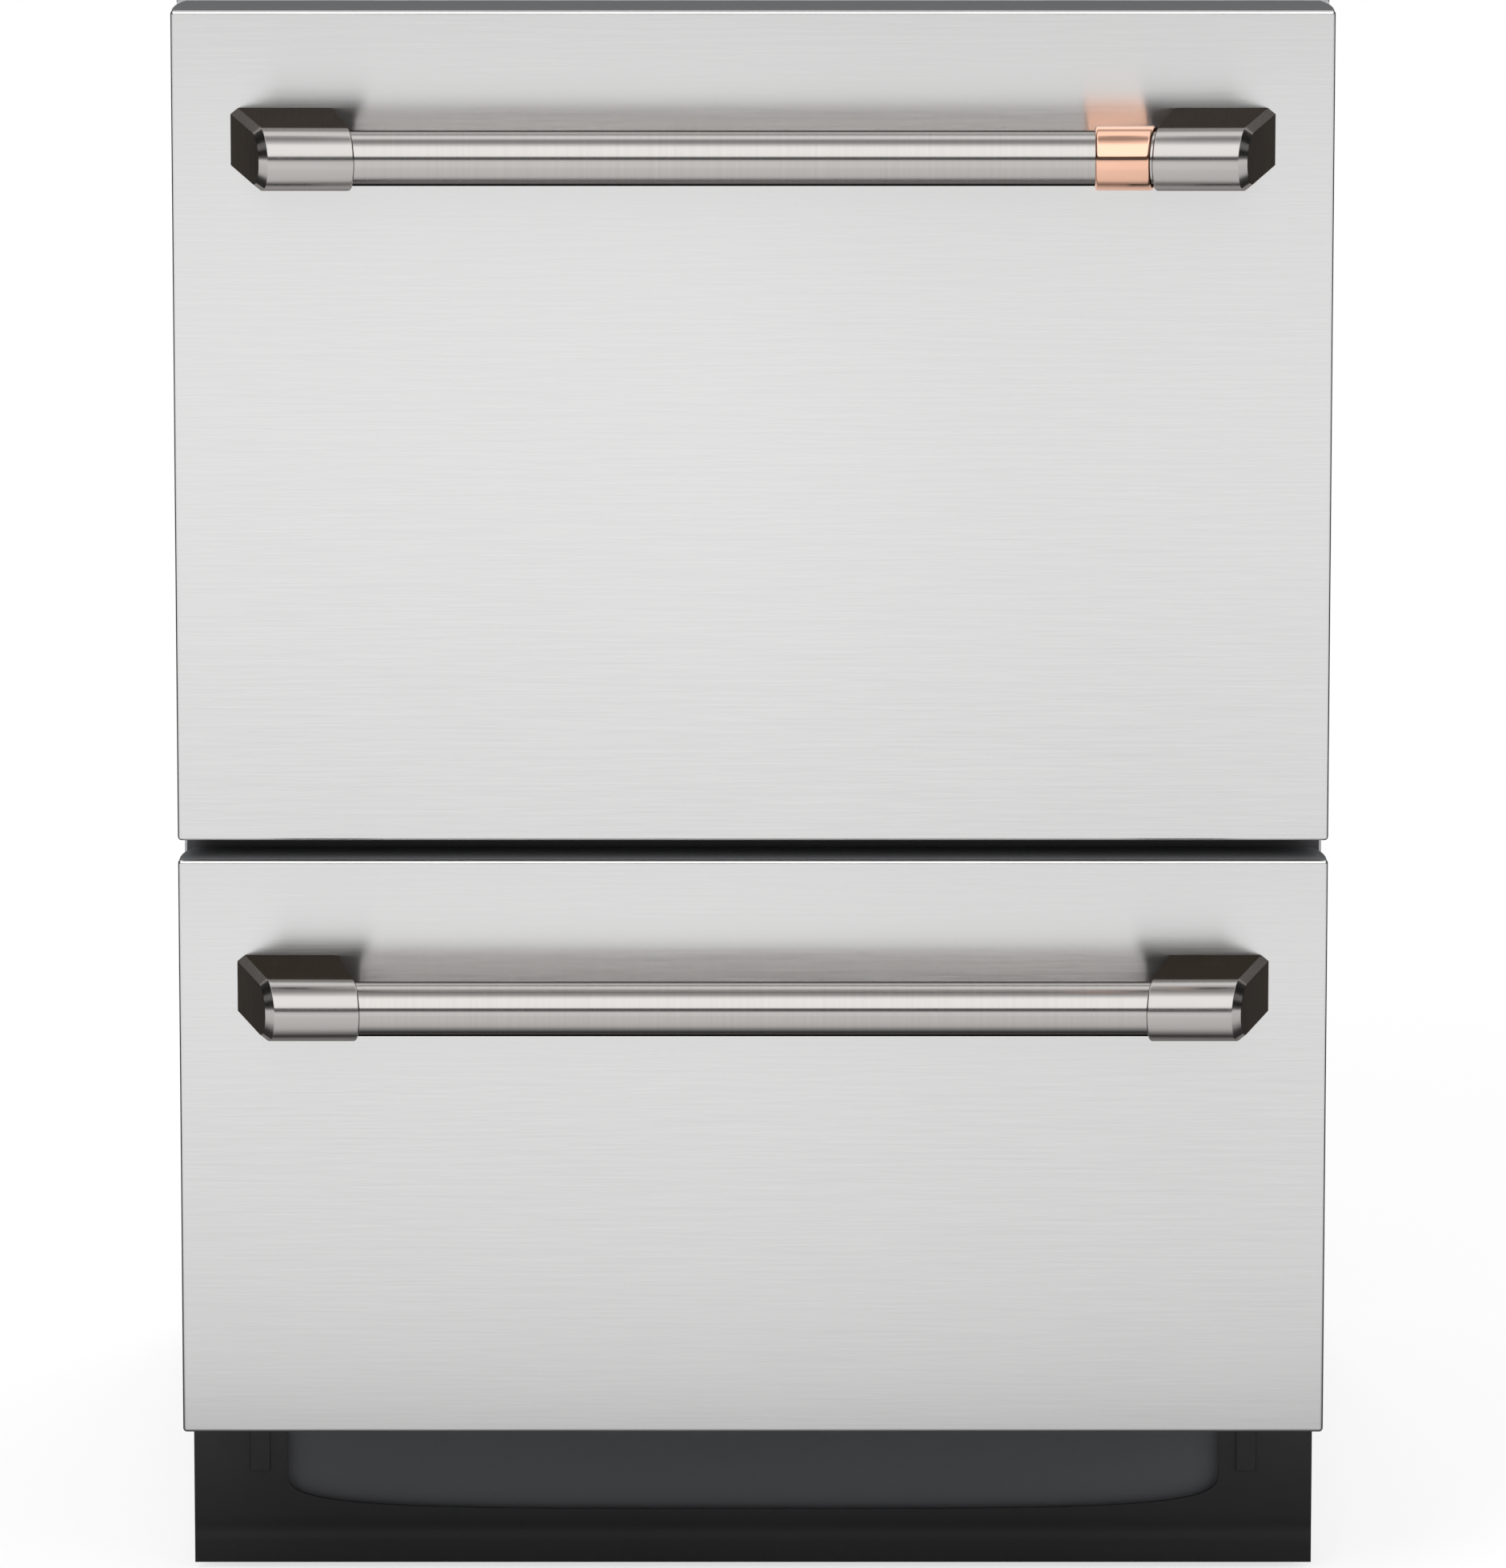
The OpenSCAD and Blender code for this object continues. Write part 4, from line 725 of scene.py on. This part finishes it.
# the cup rack, hinged along the upper rack's left side
shelf = {"hinge": 8, "rise": 14, "postShort": 2, "eyesY": (168, 472), "start": 172, "end": 468, "over": 8,
         "width": 100, "frame": 2, "wire": 1.5, "middleRise": 2, "bars": 10, "barInset": 1.5, "barOver": 0.9,
         "barRise": 0.6}


def shelfEyes(z, top):  # posts and eyes that carry the cup rack
    half, hinge, axis, eye = rack["half"], shelf["hinge"], top + shelf["rise"], rack["eye"]
    runs = []
    for y in shelf["eyesY"]:
        runs += [(rack["frame"], [(-half, y, z), (-half, y, axis - shelf["postShort"])]),
                 (rack["eyeWire"], [(-half, y, axis), (-half + hinge - eye, y, axis)]),
                 (rack["eyeWire"], eyeRun((-half + hinge, y, axis), eye, "y"))]
    return runs


def cupShelf():
    upper, width, over = rack["upper"], shelf["width"], shelf["over"]
    hinge, z = -rack["half"] + shelf["hinge"], upper["z"] + upper["height"] + shelf["rise"]
    start, end, inset, bars = shelf["start"], shelf["end"], shelf["barInset"], shelf["bars"]
    middle, middleZ = hinge + width / 2, z + shelf["middleRise"]
    runs = [(shelf["frame"], [(hinge, start - over, z), (hinge, end + over, z)]),
            (shelf["frame"], [(hinge + width, start, z), (hinge + width, end, z)]),
            (shelf["wire"], [(middle, start, middleZ), (middle, end, middleZ)])]
    left, right, barZ = hinge - shelf["barOver"], hinge + width + shelf["barOver"], z + shelf["barRise"]
    for y in [start + inset + i * (end - start - 2 * inset) / (bars - 1) for i in range(bars)]:
        runs.append((shelf["wire"], [(left, y, barZ), (right, y, barZ)]))
    return wireFrame("cupShelf", runs, "upper_shelf", "upper_cup_rack")


# the row of tines that folds down in the middle of the lower rack
fold = {"rise": 6, "eyesX": (-185, -35, 85), "eyeFoot": 1, "hinge": 2, "hingeEnds": (-220, 110), "tie": 1.6,
        "tieBack": 0.6, "tieRise": 44, "tine": 1.5, "tineBack": 0.4, "tineRise": 62, "first": -200, "last": 100,
        "step": 30}


def foldEyes(z):  # carrier and eyes for the folding tines
    ends, y, axis, eye = rack["endHalf"], rackAt(0.5), z + fold["rise"], rack["eye"]
    runs = [(rack["cross"], [(-ends, y, z + rack["tineLow"]), (ends, y, z + rack["tineLow"])])]
    for x in fold["eyesX"]:
        runs += [(rack["eyeWire"], eyeRun((x, y, axis), eye, "x")),
                 (rack["eyeWire"], [(x, y, z + fold["eyeFoot"]), (x, y, axis - eye)])]
    return runs


def foldTines():
    y, z = rackAt(0.5), rack["lower"]["z"] + fold["rise"]
    first, last, tieY, tieZ = fold["first"], fold["last"], y + fold["tieBack"], z + fold["tieRise"]
    runs = [(fold["hinge"], [(x, y, z) for x in fold["hingeEnds"]]),
            (fold["tie"], [(first, tieY, tieZ), (last, tieY, tieZ)])]
    runs += [(fold["tine"], [(x, y + fold["tineBack"], z), (x, y + fold["tineBack"], z + fold["tineRise"])])
             for x in range(first, last + 1, fold["step"])]
    return wireFrame("foldTines", runs, "lower_fold", "lower_fold_tines")


def dishRack(level):
    own = rack[level]
    z, top, ends = own["z"], own["z"] + own["height"], rack["endHalf"]
    front, back, step, over = rack["front"], rack["back"], rack["step"], rack["over"]
    middle = z + own["height"] * rack["middleShare"]
    rails = [("frame", z), ("middle", middle), ("rim", top)]
    posts = [rackAt((i + 0.5) / rack["cells"]) for i in range(rack["cells"])]
    columns = [i * step for i in range(-rack["columns"], rack["columns"] + 1)]
    runs = []
    for x in (-rack["half"], rack["half"]):
        runs += [(rack[kind], [(x, front - over[kind], rise), (x, back + over[kind], rise)])
                 for kind, rise in rails]
        runs += [(rack["post"], [(x, y, z), (x, y, top)]) for y in posts[1:-1]]
        runs += [(rack["leg"], [(x, y, z + rack["legLow"]), (x, y, top)]) for y in (posts[0], posts[-1])]
    for y in (front, back):
        runs += [(rack[kind], [(-ends, y, rise), (ends, y, rise)]) for kind, rise in rails]
        runs += [(rack["post"], [(x, y, z), (x, y, top)]) for x in columns]
    floorZ, crossZ, tineZ = [z + rack[kind + "Low"] for kind in ("floor", "cross", "tine")]
    runs += [(rack["floor"], [(x, front - over["floor"], floorZ), (x, back + over["floor"], floorZ)])
             for x in columns]
    runs += [(rack["cross"], [(-ends, rackAt(row), crossZ), (ends, rackAt(row), crossZ)])
             for row in rack["crossRows"]]
    start, tineTop = rack["tineStart"], z + own["height"] * rack["tineShare"]
    tines = [(i - start) * step for i in range(int(own["last"] + start) + 1)]
    for y in [rackAt(row) for row in own["rows"]]:
        runs.append((rack["cross"], [(-ends, y, tineZ), ((own["last"] + rack["tineSpare"]) * step, y, tineZ)]))
        runs += [(rack["tine"], [(x, y, tineZ), (x, y, tineTop)]) for x in tines]
    runs += shelfEyes(middle, top) if level == "upper" else foldEyes(z)
    return wireFrame(level + "DishRack", runs, level + "_dish_rack", level + "_rack")


# cabinet screws, three high and three low on each side
screw = {"radius": 4 * mm, "topRadius": 2.9 * mm, "height": 1.6 * mm, "slot": 0.9 * mm, "reach": 4.2 * mm,
         "deep": 1.7 * mm, "steps": 32, "high": (70, 250, 530), "low": (150, 330, 530)}


def screwMaker():  # a low tapered head with a cross cut in it on every point, turned along "facing"
    maker = Maker("panHeadScrew", [("Radius", "NodeSocketFloat"), ("Height", "NodeSocketFloat"),
                                   ("Cross", "NodeSocketVector"), ("Cross Turned", "NodeSocketVector")])
    head = maker.add("GeometryNodeMeshCone", {}, {
        "Vertices": screw["steps"], "Side Segments": 1, "Radius Top": screw["topRadius"],
        "Radius Bottom": maker.given("Radius"), "Depth": maker.given("Height")})
    bars = [maker.add("GeometryNodeMeshCube", {}, {"Size": maker.given(label)})
            for label in ("Cross", "Cross Turned")]
    cross = maker.add("GeometryNodeTransform", {}, {
        0: maker.add("GeometryNodeJoinGeometry", {}, {0: bars}), "Translation": (0, 0, screw["height"])})
    cut = maker.add("GeometryNodeMeshBoolean", {"operation": "DIFFERENCE"}, {0: head, 1: cross})
    way = maker.add("GeometryNodeInputNamedAttribute", {"data_type": "FLOAT_VECTOR"}, {"Name": "facing"})
    turn = maker.add("FunctionNodeAlignRotationToVector", {"axis": "Z"}, {"Vector": way})
    placed = maker.add("GeometryNodeInstanceOnPoints", {}, {
        0: maker.given("Geometry"), "Instance": cut, "Rotation": turn})
    return maker.end(placed, finishes["screw_steel"].material)


def cabinetScrews():
    low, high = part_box("cabinet_screws")
    face = high.x - screw["height"]
    points = bmesh.new()
    facing = points.verts.layers.float_vector.new("facing")
    for side in (-1, 1):
        for row, z in (("high", high.z - screw["radius"]), ("low", low.z + screw["radius"])):
            for y in screw[row]:
                vert = points.verts.new((side * face, doorFace + y * mm, z))
                vert[facing] = (side, 0, 0)
    made = grow(screwMaker(), meshFrom("cabinetScrews", points), **{
        "Radius": screw["radius"], "Height": screw["height"],
        "Cross": (screw["reach"], screw["slot"], screw["deep"]),
        "Cross Turned": (screw["slot"], screw["reach"], screw["deep"])})
    return piece("cabinetScrews", made, "screw_steel", "cabinet", "cabinet_screws")


roundWire = wireMaker()
for level in ("upper", "lower"):
    dishRack(level)
cupShelf()
foldTines()
cabinetScrews()
print("racks and screws made")

kickPlate()
plinthPanel()
print("plinth made")

for level in ("upper", "lower"):
    doorSheet(level)
    doorTrim(level)
    roundBar(level)
    endPieces(level)
brightBand()
print("doors and handles made")


# the floor, in metres; "levels" is its brightness in reflections by the distance ahead of the doors
ground = {"reach": 40, "depth": 0.02, "grey": (0.88, 0.88, 0.88), "rough": 0.8, "glowStart": -0.2,
          "glowEnd": 8.0, "levels": [(-0.2, 0.04), (0.02, 0.06), (0.12, 0.35), (0.25, 0.72), (0.5, 0.82),
                                     (1.2, 0.86), (1.9, 0.96), (8.0, 0.98)],
          "sideways": [(0.5, 1.0), (0.85, 0.96)], "clearEnd": 4.0, "clear": [(0.12, 0.7), (0.5, 0.99)]}


def makeFloor():
    def build(shape):
        r = ground["reach"]
        addOutline(shape, [(-r, -r), (r, -r), (r, r), (-r, r)], -ground["depth"], 0)

    floor = bpy.data.objects.new("floor", meshOf("floor", build))
    bpy.context.scene.collection.objects.link(floor)
    finish = newFinish("paleFloor", ground["grey"], 0.0, ground["rough"])
    direct, mirror = finish.ray("Is Camera Ray"), finish.ray("Is Glossy Ray")
    spot = finish.add("ShaderNodeTexCoord", {}, {}, out=3)
    across, along, _ = finish.parts(spot)
    # what the doors show: dark under the handles, paler further out
    start, span = ground["glowStart"], ground["glowEnd"] - ground["glowStart"]
    ahead = finish.maths("MAXIMUM", ((along - doorFace) * -1.0 - start) / span, 0.0)
    stops = [(((d - start) / span) ** 0.5, level) for d, level in ground["levels"]]
    near = finish.ramp(finish.maths("POWER", ahead, 0.5), stops)
    near = finish.colours(1.0, near, finish.ramp(across + 0.5, ground["sideways"]), "MULTIPLY")
    away = finish.add("ShaderNodeVectorMath", {"operation": "LENGTH"}, {0: spot}, out=1)
    clear = finish.ramp(away / ground["clearEnd"], ground["clear"], "EASE")
    glow = finish.add("ShaderNodeEmission", {}, {
        "Color": finish.colours(mirror, (1, 1, 1, 1), near), "Strength": 1.0})
    factor = finish.maths("MAXIMUM", direct * clear, mirror)
    both = finish.add("ShaderNodeMixShader", {}, {
        0: factor, 1: Wire(finish, finish.shader.outputs[0]), 2: glow})
    finish.tree.links.new(both.out, finish.tree.nodes["Material Output"].inputs["Surface"])
    floor.data.materials.append(finish.material)


# brightness of the room in reflections, by how steeply the reflected ray climbs
room = {"ahead": [(0.0, 0.86), (0.06, 0.72), (0.11, 0.1), (0.28, 0.06), (0.34, 1.42), (0.86, 1.42), (0.94, 0.8),
                  (0.99, 0.36)],
        "behind": [(0.0, 0.05), (0.6, 0.08), (0.8, 0.55), (0.9, 1.1), (0.975, 1.1), (1.0, 0.36)],
        "turn": [(0.48, 0.0), (0.52, 1.0)], "beside": [(0.55, 1.0), (0.8, 0.15)],
        "diffuse": (0.66, 0.66, 0.66, 1)}


def makeWorld():
    world = bpy.data.worlds.new("softRoom")
    bpy.context.scene.world = world
    world.use_nodes = True
    finish = Finish(world.node_tree)
    back = world.node_tree.nodes["Background"]
    direct, mirror = finish.ray("Is Camera Ray"), finish.ray("Is Glossy Ray")
    side, ahead, up = finish.parts(finish.add("ShaderNodeTexCoord", {}, {}, out=0))
    # a wide soft strip ahead of the doors, a dark room behind and at the sides
    front = finish.ramp(up, room["ahead"])
    rear = finish.ramp(up, room["behind"])
    seen = finish.colours(finish.ramp(ahead + 0.5, room["turn"]), front, rear)
    flank = finish.ramp(finish.maths("ABSOLUTE", side, 0.0), room["beside"])
    shaded = finish.colours(1.0, seen, flank, "MULTIPLY")
    lit = finish.colours(direct, finish.colours(mirror, room["diffuse"], shaded), (1, 1, 1, 1))
    world.node_tree.links.new(lit.out, back.inputs["Color"])
    back.inputs["Strength"].default_value = 1.0


# lamps, in metres and watts
lampAim = Vector((0, 0, 0.45))
lamps = {"keyLamp": {"spot": (-2.2, -3.2, 3.6), "size": (2.6, 2.6), "watts": 150},
         "fillLamp": {"spot": (2.8, -2.6, 2.4), "size": (2.4, 2.4), "watts": 70},
         "backLamp": {"spot": (0.5, 3.0, 3.2), "size": (2.6, 2.0), "watts": 70}}


def softLamp(name):
    own = lamps[name]
    lamp = bpy.data.lights.new(name, "AREA")
    lamp.shape = "RECTANGLE"
    lamp.size, lamp.size_y = own["size"]
    lamp.energy = own["watts"]
    thing = bpy.data.objects.new(name, lamp)
    bpy.context.scene.collection.objects.link(thing)
    thing.location = own["spot"]
    thing.rotation_euler = (lampAim - Vector(own["spot"])).to_track_quat("-Z", "Y").to_euler()
    thing.visible_glossy = False


# a long lens far ahead of the doors; its focal length is in rows of the image
camera = {"distance": 8.0, "pitch": 14.19, "height": 2.476, "focal": 19825, "rows": 1960, "sensor": 36.0,
          "clipEnd": 200}


def makeCamera():
    data = bpy.data.cameras.new("camera")
    thing = bpy.data.objects.new("camera", data)
    bpy.context.scene.collection.objects.link(thing)
    data.sensor_width = camera["sensor"]
    data.lens = camera["focal"] * camera["sensor"] / camera["rows"]
    thing.location = (0, doorFace - camera["distance"], camera["height"])
    thing.rotation_euler = (math.radians(90 - camera["pitch"]), 0, 0)
    data.clip_end = camera["clipEnd"]
    bpy.context.scene.camera = thing


makeFloor()
makeWorld()
for name in lamps:
    softLamp(name)
makeCamera()
bpy.context.scene.view_settings.view_transform = "Standard"
print("stage made")
